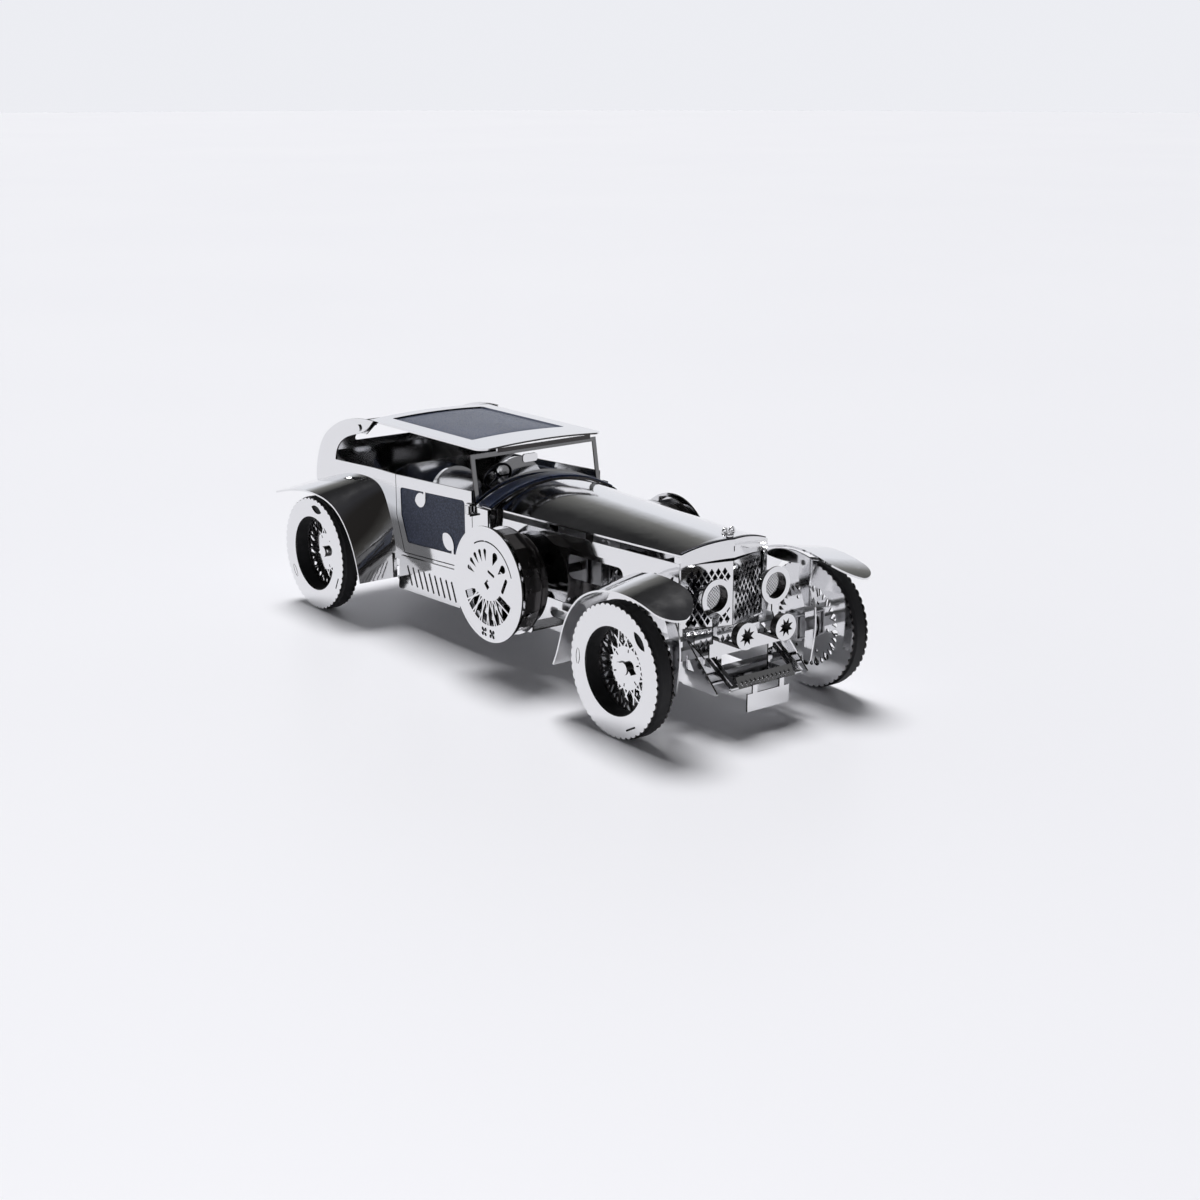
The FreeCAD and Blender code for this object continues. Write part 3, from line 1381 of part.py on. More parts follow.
def rear_panel():
    """Back of the body, wrapped up between the quarters, with a rear window."""
    run = [(-90.5, floor_z + 0.6), (-93.4, floor_z + 10.0), (-93.6, belt_rear_z - 8.9)]
    for x, share in ((-91.4, -0.007), (-87.8, 0.34), (-82.2, 0.588), (-76.5, 0.752)):
        run.append((x, between_belt_and_roof(share)))
    half = body_half - steel
    panel = folded(run, run, -half, half)
    low = between_belt_and_roof(0.163)
    high = between_belt_and_roof(0.536)
    window = across(sheet(rounded([(-12, low), (12, low), (12, high), (-12, high)], 1.2), (), 20), -100)
    return panel.cut(window).Solids[0]


def idler_room(index):
    """Free space an idler needs in the plates it passes."""
    x, z = gear_centres[index]
    reach = module * gear_counts[index] / 2 + tooth_rise + gear_air / 2
    return rod((x, -plate_y, z), (x, plate_y, z), reach)


def arch_plate(x, half, low, edge_z, crest_z, holes=()):
    wire = outline(
        [(-half, low), (half, low)], [(half, low), (half, edge_z)],
        [(half, edge_z), (0, crest_z), (-half, edge_z)], [(-half, edge_z), (-half, low)],
    )
    return across(sheet(wire, holes), x)


def firewall():
    edge_z = scuttle_edge_z - steel - gap
    crest_z = scuttle_crest_z - steel - gap
    back = cowl_front_x - steel
    plate = arch_plate(back, scuttle_half - 0.2, floor_z + steel, edge_z, crest_z)
    tunnel_top = spare_z + module * barrel_teeth / 2
    tunnel = block(back - 1, cowl_front_x + 1, -plate_y, plate_y, floor_z - 1, tunnel_top)
    return plate.cut(tunnel).Solids[0]


def dashboard():
    edge_z = scuttle_edge_z - steel - gap
    crest_z = scuttle_crest_z - steel - gap
    x = -1.6
    y = steering_centre[1]
    passage = circle(y, column_point(x + steel / 2)[2], 1.3)
    dials = [circle(dy, edge_z, 1.1) for dy in (-3.6, 0, 3.6)]
    plate = arch_plate(x, scuttle_half - 0.2, edge_z - 5.0, edge_z, crest_z, [passage] + dials)
    return plate.cut(idler_room(1)).Solids[0]


def windscreen():
    """Raked frame: thin bars, arched foot and legs down inside the cowl."""
    base_z = scuttle_edge_z - 4.6
    slope = -2.0 / 11.5
    height = windscreen_top_z - base_z
    half = body_half - 0.8
    bar = 1.3
    foot_edge = scuttle_edge_z + leather + gap - base_z
    foot_crest = scuttle_crest_z + leather + gap - base_z
    edge = outline(
        [(-half, 0), (-half + bar, 0)], [(-half + bar, 0), (-half + bar, foot_edge - 1.2)],
        [(-half + bar, foot_edge - 1.2), (0, foot_crest - 1.0), (half - bar, foot_edge - 1.2)],
        [(half - bar, foot_edge - 1.2), (half - bar, 0)], [(half - bar, 0), (half, 0)],
        [(half, 0), (half, height)], [(half, height), (-half, height)], [(-half, height), (-half, 0)],
    )
    opening = outline(
        [(-half + bar, foot_edge + 0.6), (0, foot_crest + 0.3), (half - bar, foot_edge + 0.6)],
        [(half - bar, foot_edge + 0.6), (half - bar, height - bar)],
        [(half - bar, height - bar), (-half + bar, height - bar)],
        [(-half + bar, height - bar), (-half + bar, foot_edge + 0.6)],
    )
    frame = across(sheet(edge, [opening]), 0)
    frame.rotate(V(0, 0, 0), V(0, 1, 0), math.degrees(math.atan(slope)))
    frame.translate(V(-3.0 - steel, 0, base_z))
    return frame


def mirror():
    x = -7.6
    low = windscreen_top_z - 4.9
    high = windscreen_top_z - 2.5
    glass = across(sheet(rounded([(-3.6, low), (1.6, low), (1.6, high), (-3.6, high)], 0.8), (), 0.6), x)
    stalk = rod((x + 0.3, -1.0, high - 0.5), (x + 1.45, -1.0, windscreen_top_z - 0.9), 0.3)
    stalk = stalk.cut(windscreen()).Solids[0]
    return joined(glass, stalk).Solids[0]


def seat(y0, y1, x, back_rise):
    """Folded seat: cushion box, arched back and front skirt."""
    middle = (y0 + y1) / 2
    half = (y1 - y0) / 2
    shoulder = back_rise - 6
    back = outline(
        [(-half, 0), (half, 0)], [(half, 0), (half, shoulder)],
        [(half, shoulder), (0, back_rise), (-half, shoulder)],
        [(-half, shoulder), (-half, 0)],
    )
    back = across(sheet(back, (), 1.6), 0)
    back.rotate(V(0, 0, 0), V(0, 1, 0), -10)
    back.translate(V(x - 14.0, middle, floor_z + 2.0))
    seat_z = floor_z + 9.5
    cushion = block(x - 13.8, x, y0, y1, seat_z, seat_z + 4.0)
    legs = block(x - 3.0, x - 3.0 + steel, y0 + 1, y1 - 1, floor_z + steel, seat_z)
    return joined(back, cushion, legs).Solids[0]


def seats():
    outer = body_half - 3.5
    front = seat(3.0, outer, -14.0, 28.0)
    rear = seat(1.0 - outer, outer - 1.0, -50.0, 22.0)
    rear = rear.cut(block(-90, -20, -plate_y - 0.6, plate_y + 0.6, 0, floor_z + 14.6)).Solids
    return front, mirrored(front), rear


def scuttle():
    return arch(scuttle_back_x, cowl_front_x + 0.5, scuttle_half, scuttle_edge_z, scuttle_crest_z)


def scuttle_leather():
    return arch(scuttle_back_x, cowl_front_x - 0.6, scuttle_half, scuttle_edge_z + leather,
                scuttle_crest_z + leather, leather)


def body():
    side = body_side()
    save("right_body_side", side)
    save("left_body_side", mirrored(side))
    frame = door_frame()
    inset = door_leather()
    save("right_door_frame", frame)
    save("left_door_frame", mirrored(frame))
    save("right_door_leather", inset)
    save("left_door_leather", mirrored(inset))
    skirt = side_skirt()
    save("side_skirts", skirt, mirrored(skirt))
    save("rear_panel", rear_panel())
    save("firewall", firewall())
    save("dashboard", dashboard())
    save("windscreen_frame", windscreen())
    save("mirror", mirror())
    front, other, rear = seats()
    save("seats", front, other, *rear)
    save("scuttle", scuttle())
    save("scuttle_leather", scuttle_leather())


# ---- roof ----

def roof_lug(side):
    """Lug under a rear corner of the roof, with the pin that turns in the roof pillar."""
    edge_z = roof_height - roof_crown
    outer = roof_half
    edge = rounded([
        (roof_hinge_x - 2.0, roof_hinge_z - 1.9), (roof_hinge_x + 2.0, roof_hinge_z - 1.9),
        (roof_rear_x + 4.0, edge_z - 0.3), (roof_rear_x + 0.2, edge_z - 0.3),
        (roof_hinge_x - 2.0, roof_hinge_z + 1.9),
    ], 0.8)
    lug = on_right(sheet(edge), outer - steel)
    lug = lug.fuse(block(roof_rear_x + 0.8, roof_rear_x + 3.4, -outer, -outer + steel, edge_z - 1.2, edge_z - 0.3))
    pin = rod((roof_hinge_x, -outer + 0.1, roof_hinge_z), (roof_hinge_x, -body_half - 0.1, roof_hinge_z),
              roof_pin_radius)
    head = rod((roof_hinge_x, -body_half - 0.1, roof_hinge_z), (roof_hinge_x, -body_half - 0.5, roof_hinge_z), 1.1)
    whole = joined(lug, pin, head)
    return whole if side < 0 else mirrored(whole)


def roof_frame():
    """Crowned roof border with rounded front corners, front lip and two pivot lugs."""
    edge_z = roof_height - roof_crown
    skin = arch(roof_rear_x, roof_front_x, roof_half, edge_z, roof_height)
    r = 4.0
    corner = r * (1 - math.sqrt(0.5))
    plan = outline(
        [(roof_rear_x, -roof_half), (roof_front_x - r, -roof_half)],
        [(roof_front_x - r, -roof_half), (roof_front_x - corner, -roof_half + corner),
         (roof_front_x, -roof_half + r)],
        [(roof_front_x, -roof_half + r), (roof_front_x, roof_half - r)],
        [(roof_front_x, roof_half - r), (roof_front_x - corner, roof_half - corner),
         (roof_front_x - r, roof_half)],
        [(roof_front_x - r, roof_half), (roof_rear_x, roof_half)],
        [(roof_rear_x, roof_half), (roof_rear_x, -roof_half)],
    )
    skin = skin.common(at_height(sheet(plan, [roof_window()], 20), edge_z - 10)).Solids[0]
    lip_half = roof_half - r - 1.5
    lip = block(roof_front_x - steel, roof_front_x, -lip_half, lip_half, edge_z - 1.3, edge_z)
    return joined(skin, lip, roof_lug(-1), roof_lug(1)).Solids[0]


def roof_window(grow=0.0):
    half = roof_half - 5.5 + grow
    front = roof_front_x - 12.8 + grow
    back = roof_rear_x + 4.4 - grow
    return rounded([(back, -half), (front, -half), (front, half), (back, half)], 0.6)


def roof_leather():
    """Leather inset against the underside of the roof border."""
    edge_z = roof_height - roof_crown - steel
    crown = arch(roof_rear_x, roof_front_x, roof_half, edge_z, roof_height - steel, leather)
    return crown.common(at_height(sheet(roof_window(1.8), (), 20), edge_z - 10)).Solids[0]


def roof():
    save("roof_frame", roof_frame())
    save("roof_leather", roof_leather())


os.makedirs("parts", exist_ok=True)
chassis()
wheels()
clockwork()
steering_gear()
front_end()
wings()
body()
roof()
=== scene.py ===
import math

import bpy
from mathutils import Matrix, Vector


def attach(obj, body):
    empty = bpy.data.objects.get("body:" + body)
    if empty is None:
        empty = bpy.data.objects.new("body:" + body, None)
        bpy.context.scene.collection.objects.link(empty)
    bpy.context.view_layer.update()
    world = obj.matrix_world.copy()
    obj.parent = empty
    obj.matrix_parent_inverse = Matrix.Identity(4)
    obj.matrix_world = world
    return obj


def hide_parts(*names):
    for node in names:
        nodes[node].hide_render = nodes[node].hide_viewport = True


# A clockwork touring car folded from polished stainless sheet, with navy leather insets
# and black rubber tyres.  Metres, +X to the nose, +Y to the car's left, +Z up.

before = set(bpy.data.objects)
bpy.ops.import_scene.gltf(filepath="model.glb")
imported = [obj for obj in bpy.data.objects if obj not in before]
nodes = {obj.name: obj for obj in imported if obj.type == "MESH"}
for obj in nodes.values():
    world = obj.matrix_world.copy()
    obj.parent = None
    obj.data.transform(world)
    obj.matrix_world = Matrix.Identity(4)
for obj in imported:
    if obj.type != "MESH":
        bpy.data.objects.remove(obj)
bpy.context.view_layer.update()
bpy.ops.object.select_all(action="DESELECT")

mm = 0.001


# ---- colours and nodes ----

def srgb(code):
    """Linear colour of an sRGB hex code."""
    channels = [int(code[k:k + 2], 16) / 255 for k in (1, 3, 5)]
    linear = [c / 12.92 if c <= 0.04045 else ((c + 0.055) / 1.055) ** 2.4 for c in channels]
    return (*linear, 1.0)


def add_node(tree, kind, inputs=None, **settings):
    """Add a node, give it its settings, and fill its inputs with values or links."""
    node = tree.nodes.new("ShaderNode" + kind)
    for name, value in settings.items():
        setattr(node, name, value)
    for name, value in (inputs or {}).items():
        if isinstance(value, bpy.types.NodeSocket):
            tree.links.new(value, node.inputs[name])
        else:
            node.inputs[name].default_value = value
    return node


def new_material(name):
    """Empty material with its output node."""
    material = bpy.data.materials.new(name)
    material.use_nodes = True
    material.node_tree.nodes.clear()
    return material, material.node_tree


def finish_material(tree, shader):
    add_node(tree, "OutputMaterial", {"Surface": shader.outputs["BSDF"]})


def polished_stainless(name, axis, cut_faces, roughness=0.055):
    """Mirror-polished 304 sheet: rolled slightly wavy, faintly smudged, cut by laser.

    The laser leaves the cut faces dark and dull.  cut_faces is "across" when they are the
    faces turned away from the axis, "along" when they face down it, and "none" when the
    piece is bent too much to tell.
    """
    material, tree = new_material(name)
    place = add_node(tree, "TexCoord")
    point = place.outputs["Object"]
    turned = add_node(tree, "SeparateXYZ", {"Vector": place.outputs["Normal"]})
    facing = add_node(tree, "Math", {0: turned.outputs[axis]}, operation="ABSOLUTE")
    low, high, first, last = {"across": (0.15, 0.45, 1.0, 0.0), "along": (0.9, 0.97, 0.0, 1.0),
                              "none": (1.5, 2.0, 0.0, 1.0)}[cut_faces]
    edge = add_node(tree, "MapRange", {
        "Value": facing.outputs[0], "From Min": low, "From Max": high, "To Min": first, "To Max": last})
    smudge = add_node(tree, "TexNoise", {
        "Vector": point, "Scale": 1 / (9 * mm), "Detail": 4.0, "Roughness": 0.6})
    smear = add_node(tree, "MapRange", {
        "Value": smudge.outputs["Fac"], "From Min": 0.35, "From Max": 0.75,
        "To Min": roughness, "To Max": roughness + 0.05})
    dull = add_node(tree, "MapRange", {
        "Value": edge.outputs[0], "From Min": 0.0, "From Max": 1.0, "To Min": 0.0, "To Max": 0.2})
    rough = add_node(tree, "Math", {0: smear.outputs[0], 1: dull.outputs[0]}, operation="ADD")
    tint = add_node(tree, "Mix", {"A": srgb("#ebebec"), "B": srgb("#4c4a4a")}, data_type="RGBA")
    tree.links.new(edge.outputs[0], tint.inputs["Factor"])
    wave = add_node(tree, "TexNoise", {"Vector": point, "Scale": 1 / (28 * mm), "Detail": 1.0})
    ripple = add_node(tree, "Bump", {"Height": wave.outputs["Fac"], "Strength": 0.25, "Distance": 0.25 * mm})
    shader = add_node(tree, "BsdfPrincipled", {
        "Base Color": tint.outputs["Result"], "Metallic": 1.0, "Roughness": rough.outputs[0],
        "Normal": ripple.outputs["Normal"]})
    finish_material(tree, shader)
    return material


def mill_steel():
    """Plain rolled steel of the clockwork and axles: fine lengthwise grain, dull shine."""
    material, tree = new_material("mill_finish_steel")
    place = add_node(tree, "TexCoord")
    stretch = add_node(tree, "Mapping", {"Vector": place.outputs["Object"], "Scale": (1.0, 9.0, 9.0)})
    grain = add_node(tree, "TexNoise", {"Vector": stretch.outputs[0], "Scale": 1 / (2.4 * mm), "Detail": 3.0})
    rough = add_node(tree, "MapRange", {"Value": grain.outputs["Fac"], "To Min": 0.22, "To Max": 0.42})
    relief = add_node(tree, "Bump", {"Height": grain.outputs["Fac"], "Strength": 0.3, "Distance": 0.02 * mm})
    shader = add_node(tree, "BsdfPrincipled", {
        "Base Color": srgb("#b4b4b6"), "Metallic": 1.0, "Roughness": rough.outputs[0],
        "Normal": relief.outputs["Normal"]})
    finish_material(tree, shader)
    return material


def blued_spring():
    """Tempered spring strip: blue oxide that shades to straw."""
    material, tree = new_material("blued_spring_steel")
    place = add_node(tree, "TexCoord")
    patch = add_node(tree, "TexNoise", {
        "Vector": place.outputs["Object"], "Scale": 1 / (5 * mm), "Detail": 2.0})
    tint = add_node(tree, "Mix", {
        "Factor": patch.outputs["Fac"], "A": srgb("#27345c"), "B": srgb("#6b5a4a")}, data_type="RGBA")
    shader = add_node(tree, "BsdfPrincipled", {
        "Base Color": tint.outputs["Result"], "Metallic": 1.0, "Roughness": 0.3})
    finish_material(tree, shader)
    return material


def tyre_rubber():
    """Moulded black rubber: matt, a little dusty, with a fine spark-eroded mould grain."""
    material, tree = new_material("moulded_black_rubber")
    place = add_node(tree, "TexCoord")
    point = place.outputs["Object"]
    grain = add_node(tree, "TexNoise", {"Vector": point, "Scale": 1 / (0.5 * mm), "Detail": 3.0})
    dust = add_node(tree, "TexNoise", {"Vector": point, "Scale": 1 / (7 * mm), "Detail": 3.0})
    tint = add_node(tree, "Mix", {
        "Factor": dust.outputs["Fac"], "A": srgb("#08080a"), "B": srgb("#15151a")}, data_type="RGBA")
    rough = add_node(tree, "MapRange", {"Value": dust.outputs["Fac"], "To Min": 0.6, "To Max": 0.85})
    relief = add_node(tree, "Bump", {"Height": grain.outputs["Fac"], "Strength": 0.4, "Distance": 0.05 * mm})
    shader = add_node(tree, "BsdfPrincipled", {
        "Base Color": tint.outputs["Result"], "Roughness": rough.outputs[0], "IOR": 1.52,
        "Normal": relief.outputs["Normal"]})
    finish_material(tree, shader)
    return material


def navy_leather(name, dark, light, smooth, dull, grain):
    """Dyed and embossed calf leather: pebbled grain, soft sheen, paler where it is rubbed, with painted shade
    darkening the creases between the pebbles.

    smooth and dull are the roughness on the pebbles and in the creases, grain the width of
    a pebble in millimetres.
    """
    material, tree = new_material(name)
    place = add_node(tree, "TexCoord")
    point = place.outputs["Object"]
    bend = add_node(tree, "TexNoise", {"Vector": point, "Scale": 1 / (1.5 * mm), "Detail": 2.0})
    shift = add_node(tree, "VectorMath", {0: bend.outputs["Color"], 1: (0.4 * mm,) * 3}, operation="MULTIPLY")
    moved = add_node(tree, "VectorMath", {0: point, 1: shift.outputs[0]}, operation="ADD")
    cells = add_node(tree, "TexVoronoi", {"Vector": moved.outputs[0], "Scale": 1 / (grain * mm)},
                     feature="DISTANCE_TO_EDGE")
    pebble = add_node(tree, "MapRange", {
        "Value": cells.outputs["Distance"], "From Min": 0.0, "From Max": 0.25, "To Min": 0.0, "To Max": 1.0})
    tone = add_node(tree, "TexNoise", {"Vector": point, "Scale": 1 / (12 * mm), "Detail": 3.0})
    dye = add_node(tree, "Mix", {
        "Factor": tone.outputs["Fac"], "A": srgb(dark), "B": srgb(light)}, data_type="RGBA")
    # Painted shade: the creases between the pebbles are mixed toward dark navy #141c30 to stand in for the
    # shadow that falls in them.
    crease_shade = add_node(tree, "Mix", {
        "Factor": pebble.outputs[0], "A": srgb("#141c30"), "B": dye.outputs["Result"]}, data_type="RGBA")
    rough = add_node(tree, "MapRange", {"Value": pebble.outputs[0], "To Min": dull, "To Max": smooth})
    relief = add_node(tree, "Bump", {"Height": pebble.outputs[0], "Strength": 0.5, "Distance": 0.08 * mm})
    shader = add_node(tree, "BsdfPrincipled", {
        "Base Color": crease_shade.outputs["Result"], "Roughness": rough.outputs[0], "IOR": 1.5,
        "Sheen Weight": 0.15, "Sheen Roughness": 0.4, "Normal": relief.outputs["Normal"]})
    finish_material(tree, shader)
    return material


def blackened_steel():
    """Sheet blackened in hot oxide salts: a deep blue-black skin that still shines a little."""
    material, tree = new_material("blackened_steel")
    place = add_node(tree, "TexCoord")
    patch = add_node(tree, "TexNoise", {
        "Vector": place.outputs["Object"], "Scale": 1 / (3 * mm), "Detail": 3.0})
    tint = add_node(tree, "Mix", {
        "Factor": patch.outputs["Fac"], "A": srgb("#232327"), "B": srgb("#35353b")}, data_type="RGBA")
    rough = add_node(tree, "MapRange", {"Value": patch.outputs["Fac"], "To Min": 0.22, "To Max": 0.4})
    shader = add_node(tree, "BsdfPrincipled", {
        "Base Color": tint.outputs["Result"], "Metallic": 1.0, "Roughness": rough.outputs[0]})
    finish_material(tree, shader)
    return material


cross_steel = polished_stainless("polished_stainless_cross_panels", 0, "across")
side_steel = polished_stainless("polished_stainless_side_panels", 1, "across")
flat_steel = polished_stainless("polished_stainless_flat_panels", 2, "across")
arched_steel = polished_stainless("polished_stainless_arches", 0, "along")
folded_steel = polished_stainless("polished_stainless_folded", 2, "none")
black_steel = blackened_steel()
mill = mill_steel()
spring = blued_spring()
rubber = tyre_rubber()
leather = navy_leather("navy_embossed_leather", "#28324b", "#384460", 0.5, 0.62, 0.8)
roof_hide = navy_leather("navy_glazed_leather", "#2a3a5c", "#3c4e74", 0.26, 0.36, 0.6)
roll_hide = navy_leather("navy_glazed_roll_leather", "#233a6c", "#385288", 0.3, 0.42, 0.5)

# Words in the names of the pieces that take each sheet finish.
sheet_words = (
    (side_steel, ("tread_ring", "wheel_disc", "body_side", "door_frame", "side_skirts", "spare", "winding",
                  "bonnet_sides")),
    (cross_steel, ("grille", "fog_lamps", "headlamps", "number_plate", "windscreen", "firewall", "dashboard",
                   "mirror", "lamp_bracket")),
    (arched_steel, ("bonnet_top", "scuttle", "roof_frame")),
    (flat_steel, ("floor_pan",)),
)
mill_words = ("idler", "spring_barrel", "gear_plates", "rear_axle", "tie_rod", "knuckle", "front_axle_beam",
              "belly_plate", "steering_column")


def finish_of(name):
    """Material of a CAD node, from the words in its name."""
    if "tyre" in name:
        return rubber
    if "leather" in name:
        return leather
    if name == "mainspring":
        return spring
    if name == "steering_wheel":
        return black_steel
    if any(word in name for word in mill_words):
        return mill
    for finish, words in sheet_words:
        if any(word in name for word in words):
            return finish
    return folded_steel


for name, node in nodes.items():
    node.data.materials.clear()
    node.data.materials.append(finish_of(name))


# ---- new pieces ----

# Sizes in millimetres, from the drawing datum.
datum_shift = 1.0               # drawing datum to mid-length
roof_half = 22.3
roof_edge_z = 60.2              # underside of the roof border, at its edge and its crest
roof_crest_z = 61.2
door_hide_y = 22.95
door_corners = ((-44.8, 44.4), (-44.6, 34.2), (-40.9, 24.9), (-7.4, 26.9), (-7.4, 46.0))
scuttle_half = 22.6
scuttle_edge_z = 45.3
scuttle_crest_z = 51.3
shell_half = 15.1               # radiator shell, its crown and the V of its front
shell_edge_z = 45.0
shell_crest_z = 47.7
shell_side_x = 77.9
shell_point = 3.9


def at(x, y, z):
    """Point in metres of a place drawn from the datum in millimetres."""
    return Vector(((x - datum_shift) * mm, y * mm, z * mm))


def shape_points(piece, move):
    """Move every vertex by a rule and leave the normals fresh."""
    for vertex in piece.data.vertices:
        vertex.co = move(vertex.co)
    piece.data.update()


def applied(piece, kind, **settings):
    """Add a modifier with its settings and apply it."""
    bpy.ops.object.select_all(action="DESELECT")
    bpy.context.view_layer.objects.active = piece
    piece.select_set(True)
    modifier = piece.modifiers.new(kind.lower(), kind)
    for name, value in settings.items():
        setattr(modifier, name, value)
    bpy.ops.object.modifier_apply(modifier=modifier.name)


def edge_softly(piece, degrees=35):
    bpy.ops.object.select_all(action="DESELECT")
    bpy.context.view_layer.objects.active = piece
    piece.select_set(True)
    bpy.ops.object.shade_smooth_by_angle(angle=math.radians(degrees))


def crowned(y, half, edge_z, crest_z):
    """Height of a crowned sheet at a width station, an arc through its edges and crest."""
    rise = crest_z - edge_z
    radius = (half * half + rise * rise) / (2 * rise)
    return crest_z - radius + math.sqrt(radius * radius - y * y)


def new_grid(name, columns, rows):
    bpy.ops.object.select_all(action="DESELECT")
    bpy.ops.mesh.primitive_grid_add(x_subdivisions=columns, y_subdivisions=rows, size=2.0, location=(0, 0, 0))
    piece = bpy.context.object
    piece.name = name
    return piece


def roof_hide_panel():
    """Leather stretched under the roof border, pillowing a little up through its window."""
    x0, x1, half = -59.3, -12.3, 18.5
    border = 2.4
    piece = new_grid("roof_leather_panel", 96, 76)

    def place(co):
        x = x0 + (x1 - x0) * (co.x + 1) / 2
        y = half * co.y
        inside = min(x - x0, x1 - x, half - abs(y)) - border
        pillow = 0.38 * (1 - math.exp(-max(0.0, inside) / 1.4))
        sag = 0.05 * math.sin(x / 5.1) * math.sin(y / 4.3) if inside > 0 else 0.0
        return at(x, y, crowned(y, roof_half, roof_edge_z, roof_crest_z) - 0.04 + pillow + sag)

    shape_points(piece, place)
    applied(piece, "SOLIDIFY", thickness=0.55 * mm, offset=-1.0)
    edge_softly(piece)
    piece.data.materials.append(roof_hide)
    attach(piece, "roof")
    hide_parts("roof_leather")


def door_hide_panel(side, name):
    """Leather clamped behind a door frame, pressed slightly out through its window."""
    bpy.ops.object.select_all(action="DESELECT")
    bpy.ops.mesh.primitive_circle_add(vertices=5, radius=1.0, fill_type="NGON", location=(0, 0, 0))
    piece = bpy.context.object
    piece.name = name + "_door_leather_panel"
    order = door_corners if side < 0 else door_corners[::-1]
    for vertex, (x, z) in zip(piece.data.vertices, order):
        vertex.co = at(x, side * door_hide_y, z)
    piece.data.update()
    bpy.ops.object.mode_set(mode="EDIT")
    bpy.ops.mesh.select_all(action="SELECT")
    bpy.ops.mesh.bevel(offset=0.8 * mm, segments=4, affect="VERTICES")
    bpy.ops.mesh.select_all(action="SELECT")
    bpy.ops.mesh.normals_make_consistent(inside=False)
    bpy.ops.mesh.inset(thickness=0.35 * mm, depth=0.0)
    bpy.ops.mesh.inset(thickness=0.3 * mm, depth=0.0)
    bpy.ops.object.mode_set(mode="OBJECT")
    middle = max(piece.data.polygons, key=lambda face: face.area)
    for index in middle.vertices:
        piece.data.vertices[index].co.y += side * 0.3 * mm
    piece.data.update()
    outward = middle.normal.y * side
    applied(piece, "SOLIDIFY", thickness=0.6 * mm, offset=-1.0 if outward > 0 else 1.0)
    bpy.ops.object.mode_set(mode="EDIT")
    bpy.ops.mesh.select_all(action="SELECT")
    bpy.ops.mesh.normals_make_consistent(inside=False)
    bpy.ops.object.mode_set(mode="OBJECT")
    edge_softly(piece)
    piece.data.materials.append(leather)
    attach(piece, name + "_door")
    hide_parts(name + "_door_leather")


def scuttle_roll():
    """Thin leather-covered roll over the scuttle, fuller along its middle."""
    x0, x1, half = -2.85, 2.35, 22.5
    piece = new_grid("scuttle_leather_roll", 12, 80)

    def place(co):
        x = x0 + (x1 - x0) * (co.x + 1) / 2
        y = half * co.y
        return at(x, y, crowned(y, scuttle_half, scuttle_edge_z, scuttle_crest_z) - 0.02 - 0.28 * co.x ** 4)

    shape_points(piece, place)
    applied(piece, "SOLIDIFY", thickness=0.36 * mm, offset=-1.0)
    edge_softly(piece)
    piece.data.materials.append(roll_hide)
    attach(piece, "chassis")
    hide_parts("scuttle_leather")


def radiator_core():
    """Blackened honeycomb core behind the mesh: a finned block with a rounded rim."""
    bpy.ops.object.select_all(action="DESELECT")
    bpy.ops.mesh.primitive_cube_add(size=1.0, location=(0, 0, 0))
    piece = bpy.context.object
    piece.name = "radiator_core"
    shape_points(piece, lambda co: at(75.2 + 1.4 * co.x, 27.0 * co.y, 33.4 + 19.4 * co.z))
    bpy.ops.object.mode_set(mode="EDIT")
    bpy.ops.mesh.select_all(action="SELECT")
    bpy.ops.mesh.bevel(offset=0.3 * mm, segments=3)
    bpy.ops.mesh.select_all(action="DESELECT")
    bpy.ops.object.mode_set(mode="OBJECT")
    front = max(piece.data.polygons, key=lambda face: face.normal.x * face.area)
    front.select = True
    bpy.ops.object.mode_set(mode="EDIT")
    bpy.ops.mesh.select_mode(type="FACE")
    bpy.ops.mesh.inset(thickness=0.8 * mm, depth=-0.4 * mm)
    bpy.ops.mesh.subdivide(number_cuts=14)
    bpy.ops.mesh.inset(thickness=0.35 * mm, depth=-0.35 * mm, use_individual=True)
    bpy.ops.object.mode_set(mode="OBJECT")
    piece.data.materials.append(black_steel)
    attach(piece, "chassis")


def bonnet_rim():
    """Blackened bead that closes the crown of the radiator shell along its V front."""
    half = 14.9
    piece = new_grid("bonnet_rim", 3, 96)

    def place(co):
        y = half * co.y
        front = shell_side_x + shell_point * (1 - abs(y) / shell_half) - 0.15
        x = front - 0.45 + 0.45 * co.x
        return at(x, y, crowned(y, shell_half, shell_edge_z, shell_crest_z) + 0.3)

    shape_points(piece, place)
    applied(piece, "SOLIDIFY", thickness=0.28 * mm, offset=-1.0)
    applied(piece, "BEVEL", width=0.08 * mm, segments=2)
    edge_softly(piece)
    piece.data.materials.append(black_steel)
    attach(piece, "chassis")


roof_hide_panel()
door_hide_panel(-1, "right")
door_hide_panel(1, "left")
scuttle_roll()
radiator_core()
bonnet_rim()


# ---- studio ----

def studio_floor():
    """Plain pale matt floor."""
    bpy.ops.mesh.primitive_circle_add(vertices=96, radius=6.0, fill_type="NGON", location=(0, 0, 0))
    floor = bpy.context.object
    floor.name = "studio_floor"
    material, tree = new_material("pale_painted_floor")
    place = add_node(tree, "TexCoord")
    tone = add_node(tree, "TexNoise", {"Vector": place.outputs["Object"], "Scale": 3.0, "Detail": 2.0})
    tint = add_node(tree, "Mix", {
        "Factor": tone.outputs["Fac"], "A": srgb("#eeeef3"), "B": srgb("#f2f2f6")}, data_type="RGBA")
    shader = add_node(tree, "BsdfPrincipled", {"Base Color": tint.outputs["Result"], "Roughness": 0.45})
    finish_material(tree, shader)
    floor.data.materials.append(material)


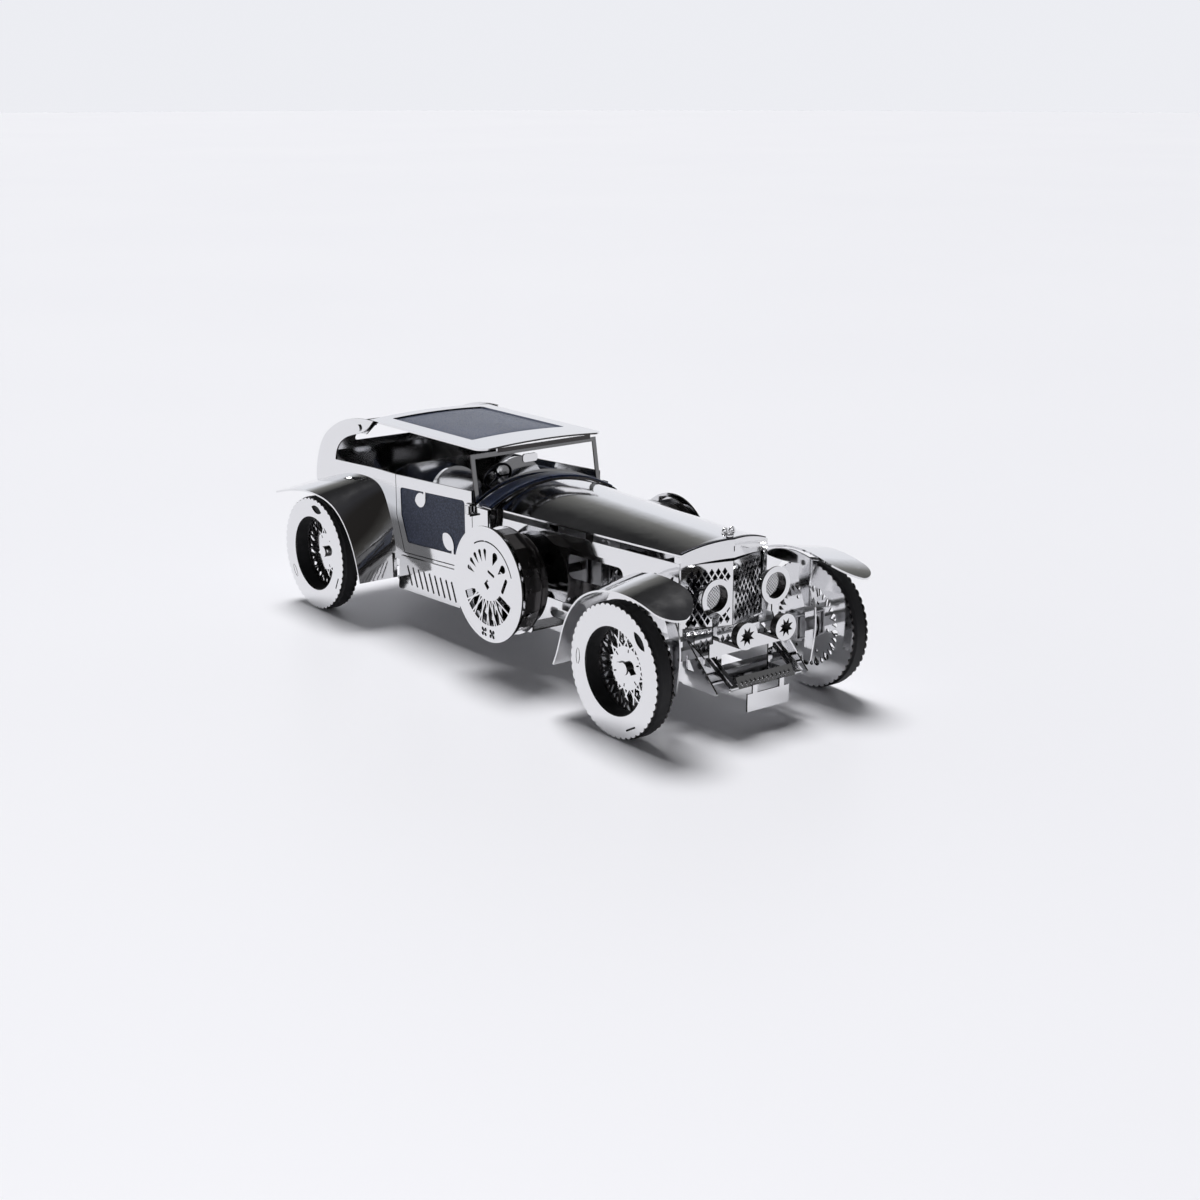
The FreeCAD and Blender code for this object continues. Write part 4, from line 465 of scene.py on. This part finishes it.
def studio_air():
    """White wall behind and beside the table, dark ceiling, dark room on the camera's side."""
    world = bpy.data.worlds.new("studio_surround")
    world.use_nodes = True
    tree = world.node_tree
    tree.nodes.clear()
    place = add_node(tree, "TexCoord")
    way = add_node(tree, "SeparateXYZ", {"Vector": place.outputs["Generated"]})
    ramp = add_node(tree, "ValToRGB", {"Fac": way.outputs["Z"]})
    stops = ((0.0, "#f2f3f8"), (0.30, "#f0f2f8"), (0.46, "#7c7c7a"), (0.62, "#2a2a2b"), (1.0, "#343437"))
    ramp.color_ramp.elements.remove(ramp.color_ramp.elements[1])
    for index, (position, code) in enumerate(stops):
        stop = ramp.color_ramp.elements[0] if index == 0 else ramp.color_ramp.elements.new(position)
        stop.position = position
        stop.color = srgb(code)
    room = add_node(tree, "MapRange", {
        "Value": way.outputs["X"], "From Min": 0.0, "From Max": 0.35, "To Min": 0.0, "To Max": 0.8})
    shade = add_node(tree, "Mix", {
        "Factor": room.outputs[0], "A": ramp.outputs["Color"], "B": srgb("#242220")}, data_type="RGBA")
    air = add_node(tree, "Background", {"Color": shade.outputs["Result"], "Strength": 0.95})
    add_node(tree, "OutputWorld", {"Surface": air.outputs[0]})
    bpy.context.scene.world = world


def ceiling_panel(name, way, strength, spread):
    """Large far-off diffusing panel that lights the whole table evenly from one way."""
    lamp = bpy.data.lights.new(name, "SUN")
    lamp.angle = math.radians(spread)
    lamp.energy = strength
    holder = bpy.data.objects.new(name, lamp)
    bpy.context.collection.objects.link(holder)
    holder.rotation_euler = (-Vector(way)).to_track_quat("-Z", "Y").to_euler()


def studio_camera():
    """Camera ahead of the car's right front wheel, a little above it."""
    azimuth = math.radians(38.05)
    pitch = math.radians(16.0)
    data = bpy.data.cameras.new("studio_camera")
    data.lens = 56.7
    data.sensor_width = 36.0
    data.clip_start = 0.01
    camera = bpy.data.objects.new("studio_camera", data)
    bpy.context.collection.objects.link(camera)
    level = math.cos(pitch)
    ahead = Vector((-math.cos(azimuth) * level, math.sin(azimuth) * level, -math.sin(pitch)))
    camera.location = (434.7 * mm, -321.48 * mm, 168.05 * mm)
    camera.rotation_euler = ahead.to_track_quat("-Z", "Y").to_euler()
    bpy.context.scene.camera = camera


studio_floor()
studio_air()
ceiling_panel("overhead_panel", (-0.35, 0.15, 0.92), 3.1, 26)
studio_camera()

bpy.context.scene.view_settings.view_transform = "Standard"
